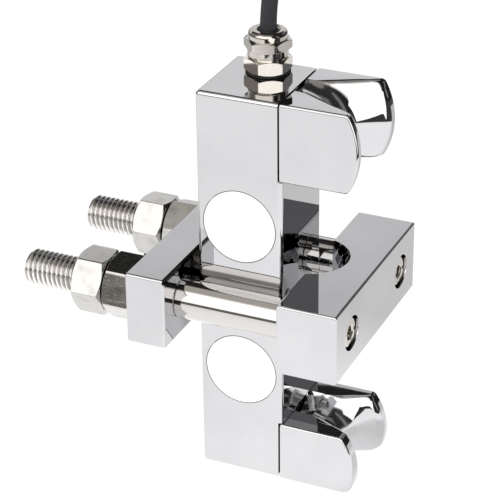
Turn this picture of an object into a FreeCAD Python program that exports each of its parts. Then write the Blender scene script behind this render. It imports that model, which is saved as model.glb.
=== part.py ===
# Clamp type load cell for wire rope, built up from its separate pieces.
# Millimetres, +Z up, origin at the bottom centre of the sensor body. The rope runs along Z on the
# +X side, over the two seats and behind the clamp block. The front face looks along -Y.
import FreeCAD, Part
import math
import os
from types import SimpleNamespace

import Sketcher

DRIVING = [
    ("body_width", 29.0, "sensor body along X"),
    ("body_depth", 32.0, "sensor body along Y"),
    ("upper_seat_height", 26.0, "upper rope seat along Z"),
    ("lower_seat_height", 21.0, "lower rope seat along Z"),
    ("seat_offset", 43.9, "clamp axis to the near edge of each seat"),
    ("rebate_depth", 1.4, "step in the body that locates a seat"),
    ("body_edge", 1.3, "edge round of the body and the seats"),
    ("step_edge", 0.5, "chamfer of the two steps"),
    ("seam_edge", 0.5, "edge round of a seat at its joint with the body"),
    ("pocket_offset", 26.0, "clamp axis to each gauge pocket"),
    ("pocket_radius", 11.0, "gauge pocket"),
    ("web_thickness", 11.0, "web between front and rear pocket"),
    ("cover_radius", 12.4, "white cover"),
    ("cover_clearance", 0.1, "radial gap round a cover"),
    ("cover_thickness", 1.2, "white cover"),
    ("wire_hole_radius", 2.0, "bore for the inner leads"),
    ("wire_hole_shift", 8.0, "bore for the inner leads, along Y"),
    ("web_hole_radius", 1.5, "lead hole through a web"),
    ("web_hole_shift", 7.0, "lead hole through a web, along X"),
    ("seat_reach", 38.5, "body axis to the rim of a seat"),
    ("upper_rim_radius", 24.0, "rim of the upper seat"),
    ("lower_rim_radius", 18.0, "rim of the lower seat"),
    ("seat_corner", 1.6, "round where the rim meets top and bottom"),
    ("rope_groove_radius", 12.0, "tube of the groove in a seat"),
    ("upper_groove_path", 22.8, "ring radius of the upper groove"),
    ("lower_groove_path", 20.5, "ring radius of the lower groove"),
    ("upper_screw_spread", 4.5, "upper seat screws from the seat's middle, along Z"),
    ("lower_screw_spread", 9.0, "lower seat screws from the middle, along Y"),
    ("seat_screw_radius", 2.0, "M4 shank"),
    ("seat_screw_length", 30.0, "M4 shank"),
    ("seat_screw_head_radius", 3.5, "M4 head"),
    ("seat_screw_head_height", 4.0, "M4 head"),
    ("seat_screw_socket", 3.0, "M4 hexagon socket, across flats"),
    ("seat_screw_sink", 5.0, "depth of the counterbore in the left face"),
    ("seat_tap_depth", 8.0, "tapped hole in a seat"),
    ("screw_clearance", 0.25, "radial gap of a through hole"),
    ("tap_clearance", 0.05, "radial gap in a tapped hole"),
    ("clamp_gap", 6.0, "body to clamp block"),
    ("clamp_width", 20.0, "clamp block along X"),
    ("clamp_length", 70.0, "clamp block and backing bar along Y"),
    ("clamp_height", 24.0, "clamp block along Z"),
    ("clamp_edge", 0.7, "edge round of the clamp block"),
    ("saddle_depth", 7.5, "clamp groove at mid height"),
    ("saddle_bend_radius", 30.0, "clamp groove bottom, along the rope"),
    ("saddle_groove_radius", 13.0, "clamp groove, across the rope"),
    ("rod_offset", 21.8, "tie rod axis from the middle, along Y"),
    ("rod_radius", 6.6, "plain shank of a tie rod"),
    ("rod_relief", 0.1, "gap between a tie rod and its hollow in the body"),
    ("thread_radius", 6.0, "M12 thread of a tie rod"),
    ("thread_length", 55.0, "M12 thread of a tie rod"),
    ("thread_chamfer", 1.0, "lead of the thread"),
    ("rod_tap_depth", 20.0, "tapped hole in a tie rod's right end"),
    ("clamp_screw_radius", 3.0, "M6 shank"),
    ("clamp_screw_length", 30.0, "M6 shank"),
    ("clamp_screw_head_radius", 5.0, "M6 head"),
    ("clamp_screw_head_height", 6.0, "M6 head"),
    ("clamp_screw_socket", 5.0, "M6 hexagon socket, across flats"),
    ("clamp_sink_radius", 5.75, "counterbore in the clamp block"),
    ("clamp_sink_depth", 6.6, "counterbore in the clamp block"),
    ("screw_head_edge", 0.5, "chamfer of a screw head"),
    ("bar_gap", 3.2, "body to backing bar"),
    ("bar_width", 13.6, "backing bar along X"),
    ("bar_height", 24.5, "backing bar along Z"),
    ("bar_edge", 0.8, "edge round of the backing bar"),
    ("button_radius", 8.0, "flange of the load button"),
    ("button_spigot_radius", 4.0, "end of the load button in the bar"),
    ("button_spigot_length", 7.0, "end of the load button in the bar"),
    ("button_pin_radius", 3.0, "end of the load button in the body"),
    ("button_pin_length", 6.0, "end of the load button in the body"),
    ("button_hole_spare", 0.5, "extra depth of both button holes"),
    ("nut_flats", 19.0, "M12 nut across flats"),
    ("nut_height", 10.8, "M12 nut"),
    ("nut_gap", 0.4, "inner nut to lock nut"),
    ("nut_face_radius", 9.2, "end face of a nut inside its corner chamfer"),
    ("gland_shift", 7.3, "gland axis from the middle, along Y"),
    ("gland_flats", 13.4, "gland hexagons across flats"),
    ("gland_round_radius", 7.75, "gland hexagon corners"),
    ("gland_face_radius", 6.6, "end face of a gland hexagon inside its corner chamfer"),
    ("gland_edge", 0.65, "height of the corner chamfer of a gland hexagon"),
    ("gland_thread_radius", 5.9, "gland thread in the body"),
    ("gland_thread_length", 5.0, "gland thread in the body"),
    ("gland_bore_radius", 3.5, "bore of the gland body"),
    ("gland_hex_top", 5.1, "top of the lower hexagon over the body"),
    ("gland_neck_radius", 5.5, "neck that carries the cap nut"),
    ("gland_neck_top", 11.0, "top of the neck over the body"),
    ("seal_ring_thickness", 0.7, "sealing ring under the hexagon"),
    ("seal_ring_inner", 6.1, "sealing ring, inner radius"),
    ("seal_ring_outer", 7.2, "sealing ring, outer radius"),
    ("cap_bottom", 5.7, "bottom of the cap nut over the body"),
    ("cap_skirt_radius", 6.5, "turned foot of the cap nut"),
    ("cap_hex_bottom", 7.9, "cap nut hexagon over the body"),
    ("cap_hex_top", 11.3, "cap nut hexagon over the body"),
    ("cap_dome_radius", 6.2, "foot of the dome"),
    ("cap_dome_foot", 12.5, "height where the dome starts to close"),
    ("cap_dome_round", 1.55, "round of the dome"),
    ("cap_mouth_radius", 4.75, "flat top of the dome"),
    ("cap_top", 14.0, "top of the cap nut over the body"),
    ("cap_hole_radius", 3.3, "hole of the cap nut"),
    ("cap_bore_radius", 5.6, "inside of the cap nut"),
    ("cap_bore_top", 12.2, "inside of the cap nut over the body"),
    ("seal_lip_radius", 3.15, "lip of the cable seal"),
    ("seal_top", 14.2, "top of the cable seal over the body"),
    ("gauge_side", 7.0, "strain gauge"),
    ("gauge_thickness", 0.15, "strain gauge"),
    ("board_length", 10.0, "bridge board along X"),
    ("board_height", 4.0, "bridge board along Z"),
    ("board_thickness", 1.0, "bridge board"),
    ("board_rise", 5.5, "bridge board over the pocket's middle"),
    ("lead_bundle_radius", 1.2, "inner leads"),
    ("lead_bundle_shift", 7.75, "inner leads, along Y"),
    ("cable_diameter", 5.2, "cable"),
    ("cable_inner_end", 2.0, "end of the cable's jacket over the body"),
    ("cable_exit", 14.6, "where the cable leaves the seal, over the body"),
    ("coil_x", -56.7, "middle of the cable coil"),
    ("coil_y", 102.6, "middle of the cable coil"),
    ("coil_mean_radius", 26.7, "middle of the coil's turns"),
    ("coil_row_pitch", 4.5, "height from one row of turns to the next"),
    ("coil_half_width", 7.8, "half a row of three turns"),
    ("coil_top_half_width", 4.42, "half the top row"),
    ("coil_shoulder", 13.04, "height where the coil starts to narrow"),
    ("coil_entry_length", 14.0, "cable laid on the coil's top row"),
    ("tie_thickness", 0.8, "cable tie"),
    ("tie_angle", 12.0, "width of a tie, in degrees of the coil"),
    ("tail_length", 30.0, "cable end that leaves the coil"),
    ("tail_inset", 0.35, "tail inside the coil's outer and lower surface"),
    ("lead_radius", 0.6, "one bare lead"),
    ("lead_length", 25.0, "one bare lead"),
    ("lead_spread", 0.8, "bare leads from the cable's axis"),
]

# Facet of each nut over the horizontal and its corner chamfer, in degrees, and turn of the gland's hexagons.
NUT_FACET = {"front_inner_nut": 19.0, "front_lock_nut": 30.0, "rear_inner_nut": 51.0, "rear_lock_nut": 37.0}
HEXAGON_STEP = 60.0
NUT_CHAMFER = 30.0
GLAND_TURN = 0.0
CAP_TURN = 43.5

# Turn of a seat's groove about the rim's axis, in degrees, so that it ends inside the body.
GROOVE_SWEEP = 300.0

# Cable from the gland over to the coil, then the coil's tail and its two ties.
CABLE_ROUTE = [
    (1.4, 7.9, 167.5),
    (-1.6, 18.0, 185.7),
    (-9.1, 36.7, 194.6),
    (-17.8, 56.2, 189.3),
    (-24.5, 68.6, 172.4),
    (-27.4, 72.3, 145.0),
    (-27.3, 70.6, 118.0),
    (-26.3, 66.4, 92.0),
    (-25.2, 60.0, 66.5),
    (-25.0, 63.0, 43.0),
    (-25.6, 75.5, 28.3),
    (-26.6, 91.3, 22.0),
]
ARC_SHARE = 0.45
TAIL_ANGLE = -66.5
TIE_ANGLES = (60.0, 200.0)
COIL_ROWS = 4

# What a cut reaches past the surface, and a radius past a nut's corners as a share of its flats.
CUT_SPARE = 1.0
NUT_RIM_SHARE = 0.7

TOLERANCE = 1e-4
X_AXIS = FreeCAD.Vector(1, 0, 0)
Y_AXIS = FreeCAD.Vector(0, 1, 0)
Z_AXIS = FreeCAD.Vector(0, 0, 1)


class Size:
    """A length that carries its value and the expression that gives it."""

    def __init__(self, text, value):
        self.text = text
        self.value = value

    def __add__(self, other):
        return Size(f"({self.text} + {text_of(other)})", self.value + value_of(other))

    def __radd__(self, other):
        return Size(f"({text_of(other)} + {self.text})", value_of(other) + self.value)

    def __sub__(self, other):
        return Size(f"({self.text} - {text_of(other)})", self.value - value_of(other))

    def __rsub__(self, other):
        return Size(f"({text_of(other)} - {self.text})", value_of(other) - self.value)

    def __mul__(self, other):
        return Size(f"({self.text} * {text_of(other)})", self.value * value_of(other))

    def __truediv__(self, other):
        return Size(f"({self.text} / {text_of(other)})", self.value / value_of(other))

    def __neg__(self):
        return Size(f"(-1 * {self.text})", -self.value)

    def root(self):
        return Size(f"sqrt({self.text})", math.sqrt(self.value))


def text_of(size):
    return size.text if isinstance(size, Size) else repr(float(size))


def value_of(size):
    return size.value if isinstance(size, Size) else float(size)


def bind(thing, path, size):
    """Drives a property with a size's expression."""
    thing.setExpression(path, text_of(size))


doc = FreeCAD.newDocument("ClampLoadCell")
sheet = doc.addObject("Spreadsheet::Sheet", "Dims")
dim = SimpleNamespace()
for row, (name, value, note) in enumerate(DRIVING, start=1):
    sheet.set(f"A{row}", name)
    sheet.set(f"B{row}", str(value))
    sheet.set(f"C{row}", note)
    sheet.setAlias(f"B{row}", name)
    setattr(dim, name, Size(f"Dims.{name}", value))
doc.recompute()

# Heights that several pieces share.
CLAMP_Z = dim.lower_seat_height + dim.seat_offset
BODY_TOP = CLAMP_Z + dim.seat_offset + dim.upper_seat_height
UPPER_SEAT_Z = BODY_TOP - dim.upper_seat_height / 2
LOWER_SEAT_Z = dim.lower_seat_height / 2
UPPER_POCKET_Z = CLAMP_Z + dim.pocket_offset
LOWER_POCKET_Z = CLAMP_Z - dim.pocket_offset
BODY_SIDE = dim.body_width / 2
BODY_FRONT = dim.body_depth / 2
SEAT_SEAM = BODY_SIDE - dim.rebate_depth
CLAMP_LEFT = BODY_SIDE + dim.clamp_gap
BAR_RIGHT = -(BODY_SIDE + dim.bar_gap)
BAR_LEFT = BAR_RIGHT - dim.bar_width
CABLE_RADIUS = dim.cable_diameter / 2
UPPER_SCREWS = [(0, UPPER_SEAT_Z - dim.upper_screw_spread), (0, UPPER_SEAT_Z + dim.upper_screw_spread)]
LOWER_SCREWS = [(-dim.lower_screw_spread, LOWER_SEAT_Z), (dim.lower_screw_spread, LOWER_SEAT_Z)]


def new_body(name):
    return doc.addObject("PartDesign::Body", name)


def place(thing, x=0, y=0, z=0, axis=None, angle=0.0):
    """Puts a piece at x, y, z, turned by a fixed angle about an axis."""
    if axis is not None:
        thing.Placement = FreeCAD.Placement(FreeCAD.Vector(), FreeCAD.Rotation(axis, angle))
    for letter, size in zip("xyz", (x, y, z)):
        bind(thing, f"Placement.Base.{letter}", size)
    return thing


def origin_part(body, role):
    return next(part for part in body.Origin.OriginFeatures if part.Role == role)


def sketch_on(body, name, role, shift=None):
    """A sketch on one of the body's own planes, moved along the plane's normal."""
    sketch = body.newObject("Sketcher::SketchObject", f"{body.Name}_{name}")
    sketch.AttachmentSupport = [(origin_part(body, role), "")]
    sketch.MapMode = "FlatFace"
    if shift is not None:
        bind(sketch, "AttachmentOffset.Base.z", shift)
    return sketch


def named(sketch, constraint, size):
    """Adds a dimension to a sketch and drives it with a size."""
    index = sketch.addConstraint(constraint)
    label = f"size_{index}"
    sketch.renameConstraint(index, label)
    bind(sketch, f"Constraints.{label}", size)


def fix_point(sketch, geometry, end, x, y):
    """Fixes a point of the sketch at x, y from the sketch's origin."""
    for kind, size, axis_line in (("DistanceX", x, -2), ("DistanceY", y, -1)):
        if abs(value_of(size)) < TOLERANCE:
            sketch.addConstraint(Sketcher.Constraint("PointOnObject", geometry, end, axis_line))
        elif value_of(size) > 0:
            named(sketch, Sketcher.Constraint(kind, -1, 1, geometry, end, value_of(size)), size)
        else:
            named(sketch, Sketcher.Constraint(kind, geometry, end, -1, 1, -value_of(size)), 0 - size)


def arc_between(start, end, radius):
    """An arc that bulges to the right of the way from start to end."""
    chord = end - start
    rise = math.sqrt(radius ** 2 - (chord.Length / 2) ** 2)
    left = FreeCAD.Vector(-chord.y, chord.x, 0).normalize()
    middle = (start + end) * 0.5 + left * rise
    angles = [math.atan2(point.y - middle.y, point.x - middle.x) for point in (start, end)]
    return Part.ArcOfCircle(Part.Circle(middle, Z_AXIS, radius), *angles)


def outline(sketch, corners):
    """A closed outline, counterclockwise. A corner with a third entry starts an arc of that radius."""
    points = [FreeCAD.Vector(value_of(corner[0]), value_of(corner[1]), 0) for corner in corners]
    edges = []
    for index, corner in enumerate(corners):
        start = points[index]
        end = points[(index + 1) % len(points)]
        if len(corner) == 3:
            edges.append(sketch.addGeometry(arc_between(start, end, value_of(corner[2]))))
        else:
            edges.append(sketch.addGeometry(Part.LineSegment(start, end)))
    for index, corner in enumerate(corners):
        following = edges[(index + 1) % len(edges)]
        sketch.addConstraint(Sketcher.Constraint("Coincident", edges[index], 2, following, 1))
        fix_point(sketch, edges[index], 1, corner[0], corner[1])
        if len(corner) == 3:
            named(sketch, Sketcher.Constraint("Radius", edges[index], value_of(corner[2])), corner[2])


def rectangle(sketch, left, right, low, high):
    outline(sketch, [(left, low), (right, low), (right, high), (left, high)])


def circle(sketch, x, y, radius):
    shape = Part.Circle(FreeCAD.Vector(value_of(x), value_of(y), 0), Z_AXIS, value_of(radius))
    index = sketch.addGeometry(shape)
    fix_point(sketch, index, 3, x, y)
    named(sketch, Sketcher.Constraint("Radius", index, value_of(radius)), radius)


def hexagon(sketch, flats):
    """A hexagon about the sketch's origin, with flats to the left and right."""
    side = flats / 2
    shoulder = flats / (2 * math.sqrt(3))
    tip = shoulder * 2
    outline(sketch, [(side, -shoulder), (side, shoulder), (0, tip), (-side, shoulder), (-side, -shoulder), (0, -tip)])


def feature(kind, sketch, suffix):
    body = sketch.getParentGeoFeatureGroup()
    made = body.newObject(f"PartDesign::{kind}", f"{sketch.Name}_{suffix}")
    made.Profile = sketch
    return made


def pad(sketch, length, symmetric=False):
    made = feature("Pad", sketch, "pad")
    bind(made, "Length", length)
    made.SideType = "Symmetric" if symmetric else "One side"
    return made


def pocket(sketch, depth=None, symmetric=False, along_normal=False):
    """Cuts against the sketch's normal, or along it, to a depth or right through."""
    made = feature("Pocket", sketch, "pocket")
    if depth is None:
        made.Type = "ThroughAll"
    else:
        bind(made, "Length", depth)
    made.SideType = "Symmetric" if symmetric else "One side"
    made.Reversed = along_normal
    return made


def turned(sketch, axis, kind="Revolution"):
    """Turns an outline, or a cut, right round one axis of its sketch."""
    made = feature(kind, sketch, "turned")
    made.ReferenceAxis = (sketch, [axis])
    return made


def soften(body, size, test=None, kind="Fillet"):
    """Rounds or chamfers the body's edges that pass the test, or all of them."""
    doc.recompute()
    base = body.Tip
    made = body.newObject(f"PartDesign::{kind}", f"{base.Name}_{kind.lower()}")
    if test is None:
        made.Base = (base, [])
        made.UseAllEdges = True
    else:
        chosen = [f"Edge{number}" for number, edge in enumerate(base.Shape.Edges, start=1) if test(edge)]
        made.Base = (base, chosen)
    bind(made, "Radius" if kind == "Fillet" else "Size", size)
    return made


def on_all_ends(edge, test):
    return all(test(vertex) for vertex in edge.Vertexes)


def near(number, size):
    return abs(number - value_of(size)) < TOLERANCE


def box_body(name, width, length, height, edge, left):
    """A plain block, centred on its own Y and Z axes, with rounded edges."""
    body = new_body(name)
    base = sketch_on(body, "base", "XY_Plane")
    rectangle(base, left, left + width, -length / 2, length / 2)
    pad(base, height, symmetric=True)
    soften(body, edge)
    return body


def group(name, members):
    """Several loose solids that share one node."""
    made = doc.addObject("Part::Compound", name)
    made.Links = members
    return made


def sensor_body():
    body = new_body("sensor_body")
    base = sketch_on(body, "base", "XY_Plane")
    rectangle(base, -BODY_SIDE, BODY_SIDE, -BODY_FRONT, BODY_FRONT)
    pad(base, BODY_TOP)
    soften(body, dim.body_edge)
    rebates = sketch_on(body, "rebates", "XZ_Plane")
    beyond = dim.rebate_depth
    rectangle(rebates, SEAT_SEAM, BODY_SIDE + beyond, -beyond, dim.lower_seat_height)
    rectangle(rebates, SEAT_SEAM, BODY_SIDE + beyond, BODY_TOP - dim.upper_seat_height, BODY_TOP + beyond)
    pocket(rebates, symmetric=True)
    steps = (dim.lower_seat_height, BODY_TOP - dim.upper_seat_height)

    def is_step(edge):
        return on_all_ends(edge, lambda v: near(v.X, BODY_SIDE) and any(near(v.Z, z) for z in steps))

    soften(body, dim.step_edge, is_step, "Chamfer")
    gauge_pockets(body)
    lead_holes(body)
    seat_screw_holes(body)
    button_hole = sketch_on(body, "button_hole", "YZ_Plane", -BODY_SIDE)
    circle(button_hole, 0, CLAMP_Z, dim.button_pin_radius + dim.tap_clearance)
    pocket(button_hole, dim.button_pin_length + dim.button_hole_spare, along_normal=True)
    rod_hollows = sketch_on(body, "rod_hollows", "YZ_Plane")
    for y in (-dim.rod_offset, dim.rod_offset):
        circle(rod_hollows, y, CLAMP_Z, dim.rod_radius + dim.rod_relief)
    pocket(rod_hollows, symmetric=True)
    return body


def gauge_pockets(body):
    """Two round pockets in the front face, each with a seat for its cover, mirrored to the rear."""
    seats = sketch_on(body, "cover_seats", "XZ_Plane", BODY_FRONT)
    wells = sketch_on(body, "wells", "XZ_Plane", BODY_FRONT)
    for height in (UPPER_POCKET_Z, LOWER_POCKET_Z):
        circle(seats, 0, height, dim.cover_radius + dim.cover_clearance)
        circle(wells, 0, height, dim.pocket_radius)
    cuts = [pocket(seats, dim.cover_thickness), pocket(wells, BODY_FRONT - dim.web_thickness / 2)]
    mirrored = body.newObject("PartDesign::Mirrored", "rear_pockets")
    mirrored.Originals = cuts
    mirrored.MirrorPlane = (origin_part(body, "XZ_Plane"), [""])
    body.Tip = mirrored


def lead_holes(body):
    """The gland's tapped hole, the bore down past both rear pockets and a hole through each web."""
    gland_hole = sketch_on(body, "gland_hole", "XY_Plane", BODY_TOP)
    circle(gland_hole, 0, dim.gland_shift, dim.gland_thread_radius + dim.cover_clearance)
    pocket(gland_hole, dim.gland_thread_length + dim.button_hole_spare)
    bore = sketch_on(body, "lead_bore", "XY_Plane", BODY_TOP)
    circle(bore, 0, dim.wire_hole_shift, dim.wire_hole_radius)
    pocket(bore, BODY_TOP - LOWER_POCKET_Z)
    web_holes = sketch_on(body, "web_holes", "XZ_Plane")
    for height in (UPPER_POCKET_Z, LOWER_POCKET_Z):
        circle(web_holes, dim.web_hole_shift, height, dim.web_hole_radius)
    pocket(web_holes, dim.web_thickness + CUT_SPARE, symmetric=True)


def seat_screw_holes(body):
    sinks = sketch_on(body, "screw_sinks", "YZ_Plane", -BODY_SIDE)
    holes = sketch_on(body, "screw_holes", "YZ_Plane", -BODY_SIDE)
    for y, z in UPPER_SCREWS + LOWER_SCREWS:
        circle(sinks, y, z, dim.seat_screw_head_radius + dim.screw_clearance * 2)
        circle(holes, y, z, dim.seat_screw_radius + dim.screw_clearance)
    pocket(sinks, dim.seat_screw_sink, along_normal=True)
    pocket(holes, along_normal=True)


def rope_seat(name, height, rim_radius, groove_path, middle, screws):
    """A D-shaped block with a round rope groove in its rim, drawn about the rim's own axis."""
    axis_x = dim.seat_reach - rim_radius
    seam = SEAT_SEAM - axis_x
    half = height / 2
    corner = dim.seat_corner
    inner = rim_radius - corner
    corner_x = (inner * inner - (half - corner) * (half - corner)).root()
    rim_x = corner_x * rim_radius / inner
    rim_z = (half - corner) * rim_radius / inner
    body = new_body(name)
    base = sketch_on(body, "base", "XZ_Plane")
    outline(base, [
        (seam, -half),
        (corner_x, -half, corner),
        (rim_x, -rim_z, rim_radius),
        (rim_x, rim_z, corner),
        (corner_x, half),
        (seam, half),
    ])
    pad(base, dim.body_depth, symmetric=True)

    def is_face_edge(edge):
        flat = on_all_ends(edge, lambda v: near(abs(v.Y), BODY_FRONT))
        return flat and edge.BoundBox.XMax > value_of(seam) + TOLERANCE and edge.BoundBox.YLength < TOLERANCE

    def is_seam(edge):
        return on_all_ends(edge, lambda v: near(v.X, seam)) and edge.BoundBox.XLength < TOLERANCE

    soften(body, dim.body_edge, is_face_edge)
    soften(body, dim.seam_edge, is_seam)
    tube = dim.rope_groove_radius
    groove = sketch_on(body, "groove", "XY_Plane")
    outline(groove, [
        (groove_path, tube, tube),
        (groove_path - tube, 0, tube),
        (groove_path, -tube),
        (groove_path + tube, -tube),
        (groove_path + tube, tube),
    ])
    sweep = turned(groove, "V_Axis", "Groove")
    sweep.Midplane = True
    sweep.Angle = GROOVE_SWEEP
    taps = sketch_on(body, "taps", "YZ_Plane", seam)
    for y, z in screws:
        circle(taps, y, z - middle, dim.seat_screw_radius + dim.tap_clearance)
    pocket(taps, dim.seat_tap_depth, along_normal=True)
    return place(body, x=axis_x, z=middle)


def socket_screw(name, radius, length, head_radius, head_height, socket):
    """A cap screw along +X, with its bearing face at its own origin."""
    edge = dim.screw_head_edge
    body = new_body(name)
    profile = sketch_on(body, "profile", "XY_Plane")
    outline(profile, [
        (-head_height, 0),
        (length, 0),
        (length, radius - edge),
        (length - edge, radius),
        (0, radius),
        (0, head_radius),
        (-head_height + edge, head_radius),
        (-head_height, head_radius - edge),
    ])
    turned(profile, "H_Axis")
    recess = sketch_on(body, "socket", "YZ_Plane", -head_height)
    hexagon(recess, socket)
    pocket(recess, head_height / 2, along_normal=True)
    return body


def seat_screws(name, spots):
    members = []
    for number, (y, z) in enumerate(spots, start=1):
        screw = socket_screw(
            f"{name}_{number}", dim.seat_screw_radius, dim.seat_screw_length,
            dim.seat_screw_head_radius, dim.seat_screw_head_height, dim.seat_screw_socket)
        members.append(place(screw, dim.seat_screw_sink - BODY_SIDE, y, z))
    return group(name, members)


def clamp_block():
    """Block with a flared rope groove, drawn about the axis that its groove bends round."""
    axis_x = CLAMP_LEFT + dim.saddle_depth + dim.saddle_bend_radius
    left = CLAMP_LEFT - axis_x
    right = left + dim.clamp_width
    body = box_body("clamp_block", dim.clamp_width, dim.clamp_length, dim.clamp_height, dim.clamp_edge, left)
    saddle = sketch_on(body, "saddle", "XY_Plane")
    circle(saddle, -(dim.saddle_bend_radius + dim.saddle_groove_radius), 0, dim.saddle_groove_radius)
    turned(saddle, "V_Axis", "Groove")
    sinks = sketch_on(body, "sinks", "YZ_Plane", right)
    holes = sketch_on(body, "holes", "YZ_Plane", right)
    for y in (-dim.rod_offset, dim.rod_offset):
        circle(sinks, y, 0, dim.clamp_sink_radius)
        circle(holes, y, 0, dim.clamp_screw_radius + dim.screw_clearance)
    pocket(sinks, dim.clamp_sink_depth)
    pocket(holes)
    return place(body, x=axis_x, z=CLAMP_Z)


def backing_bar():
    body = box_body("backing_bar", dim.bar_width, dim.clamp_length, dim.bar_height, dim.bar_edge, BAR_LEFT)
    holes = sketch_on(body, "rod_holes", "YZ_Plane", BAR_RIGHT)
    for y in (-dim.rod_offset, dim.rod_offset):
        circle(holes, y, 0, dim.thread_radius + dim.screw_clearance)
    pocket(holes)
    button_hole = sketch_on(body, "button_hole", "YZ_Plane", BAR_RIGHT)
    circle(button_hole, 0, 0, dim.button_spigot_radius + dim.tap_clearance)
    pocket(button_hole, dim.button_spigot_length + dim.button_hole_spare)
    return place(body, z=CLAMP_Z)


def tie_rod(name, y):
    """Plain shank past the body, a thread at the left and a tapped hole in the right end."""
    left = BAR_RIGHT - dim.thread_length
    tap_radius = dim.clamp_screw_radius + dim.tap_clearance
    tap_bottom = CLAMP_LEFT - dim.rod_tap_depth
    body = new_body(name)
    profile = sketch_on(body, "profile", "XY_Plane")
    outline(profile, [
        (left, 0),
        (tap_bottom, 0),
        (tap_bottom, tap_radius),
        (CLAMP_LEFT, tap_radius),
        (CLAMP_LEFT, dim.rod_radius),
        (BAR_RIGHT, dim.rod_radius),
        (BAR_RIGHT, dim.thread_radius),
        (left + dim.thread_chamfer, dim.thread_radius),
        (left, dim.thread_radius - dim.thread_chamfer),
    ])
    turned(profile, "H_Axis")
    return place(body, y=y, z=CLAMP_Z)


def clamp_screw(name, y):
    screw = socket_screw(
        name, dim.clamp_screw_radius, dim.clamp_screw_length,
        dim.clamp_screw_head_radius, dim.clamp_screw_head_height, dim.clamp_screw_socket)
    bearing = CLAMP_LEFT + dim.clamp_width - dim.clamp_sink_depth
    return place(screw, bearing, y, CLAMP_Z, Z_AXIS, 180.0)


def hexagon_nut(name, y, outer_face):
    """A nut along X with both ends chamfered at 30 degrees. Its outer face looks to the left."""
    half = dim.nut_height / 2
    rim = dim.nut_flats * NUT_RIM_SHARE
    slope = math.tan(math.radians(NUT_CHAMFER))
    drop = (rim - dim.nut_face_radius) * slope
    body = new_body(name)
    base = sketch_on(body, "base", "YZ_Plane")
    hexagon(base, dim.nut_flats)
    circle(base, 0, 0, dim.thread_radius + dim.tap_clearance)
    pad(base, dim.nut_height, symmetric=True)
    corners = sketch_on(body, "corners", "XY_Plane")
    outline(corners, [(half, dim.nut_face_radius), (half, rim), (half - drop, rim)])
    outline(corners, [(-half, dim.nut_face_radius), (drop - half, rim), (-half, rim)])
    turned(corners, "H_Axis", "Groove")
    return place(body, outer_face + half, y, CLAMP_Z, X_AXIS, HEXAGON_STEP - NUT_FACET[name])


def load_button():
    body = new_body("load_button")
    profile = sketch_on(body, "profile", "XY_Plane")
    outline(profile, [
        (BAR_RIGHT - dim.button_spigot_length, 0),
        (dim.button_pin_length - BODY_SIDE, 0),
        (dim.button_pin_length - BODY_SIDE, dim.button_pin_radius),
        (-BODY_SIDE, dim.button_pin_radius),
        (-BODY_SIDE, dim.button_radius),
        (BAR_RIGHT, dim.button_radius),
        (BAR_RIGHT, dim.button_spigot_radius),
        (BAR_RIGHT - dim.button_spigot_length, dim.button_spigot_radius),
    ])
    turned(profile, "H_Axis")
    return place(body, z=CLAMP_Z)


def gland_piece(name, corners, turn=0.0, hex_bottom=None, hex_top=None):
    """A piece turned about the gland's axis, with its widest zone milled to a hexagon."""
    body = new_body(name)
    profile = sketch_on(body, "profile", "XZ_Plane")
    outline(profile, corners)
    turned(profile, "V_Axis")
    if hex_top is not None:
        flats = sketch_on(body, "flats", "XY_Plane", hex_top)
        circle(flats, 0, 0, dim.gland_round_radius + CUT_SPARE)
        hexagon(flats, dim.gland_flats)
        pocket(flats, hex_top - hex_bottom)
    return place(body, y=dim.gland_shift, z=BODY_TOP, axis=Z_AXIS, angle=turn)


def gland_rim(bottom, top):
    """Outer profile of a gland hexagon, chamfered at both ends."""
    return [
        (dim.gland_face_radius, bottom),
        (dim.gland_round_radius, bottom + dim.gland_edge),
        (dim.gland_round_radius, top - dim.gland_edge),
        (dim.gland_face_radius, top),
    ]


def gland_body():
    ring = dim.seal_ring_thickness
    return gland_piece("gland_body", [
        (dim.gland_bore_radius, -dim.gland_thread_length),
        (dim.gland_thread_radius, -dim.gland_thread_length),
        (dim.gland_thread_radius, ring),
        *gland_rim(ring, dim.gland_hex_top),
        (dim.gland_neck_radius, dim.gland_hex_top),
        (dim.gland_neck_radius, dim.gland_neck_top),
        (dim.gland_bore_radius, dim.gland_neck_top),
    ], GLAND_TURN, ring, dim.gland_hex_top)


def gland_o_ring():
    return gland_piece("gland_o_ring", [
        (dim.seal_ring_inner, 0),
        (dim.seal_ring_outer, 0),
        (dim.seal_ring_outer, dim.seal_ring_thickness),
        (dim.seal_ring_inner, dim.seal_ring_thickness),
    ])


def gland_cap_nut():
    return gland_piece("gland_cap_nut", [
        (dim.cap_bore_radius, dim.cap_bottom),
        (dim.cap_skirt_radius, dim.cap_bottom),
        (dim.cap_skirt_radius, dim.cap_hex_bottom),
        *gland_rim(dim.cap_hex_bottom, dim.cap_hex_top),
        (dim.cap_dome_radius, dim.cap_hex_top),
        (dim.cap_dome_radius, dim.cap_dome_foot, dim.cap_dome_round),
        (dim.cap_mouth_radius, dim.cap_top),
        (dim.cap_hole_radius, dim.cap_top),
        (dim.cap_hole_radius, dim.cap_bore_top),
        (dim.cap_bore_radius, dim.cap_bore_top),
    ], CAP_TURN, dim.cap_hex_bottom, dim.cap_hex_top)


def gland_seal():
    bore = CABLE_RADIUS + dim.tap_clearance
    foot = dim.gland_neck_top + dim.tap_clearance
    shoulder = dim.cap_bore_top - dim.tap_clearance
    return gland_piece("gland_seal", [
        (bore, foot),
        (dim.gland_neck_radius, foot),
        (dim.gland_neck_radius, shoulder),
        (dim.seal_lip_radius, shoulder),
        (dim.seal_lip_radius, dim.seal_top),
        (bore, dim.seal_top),
    ])


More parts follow.
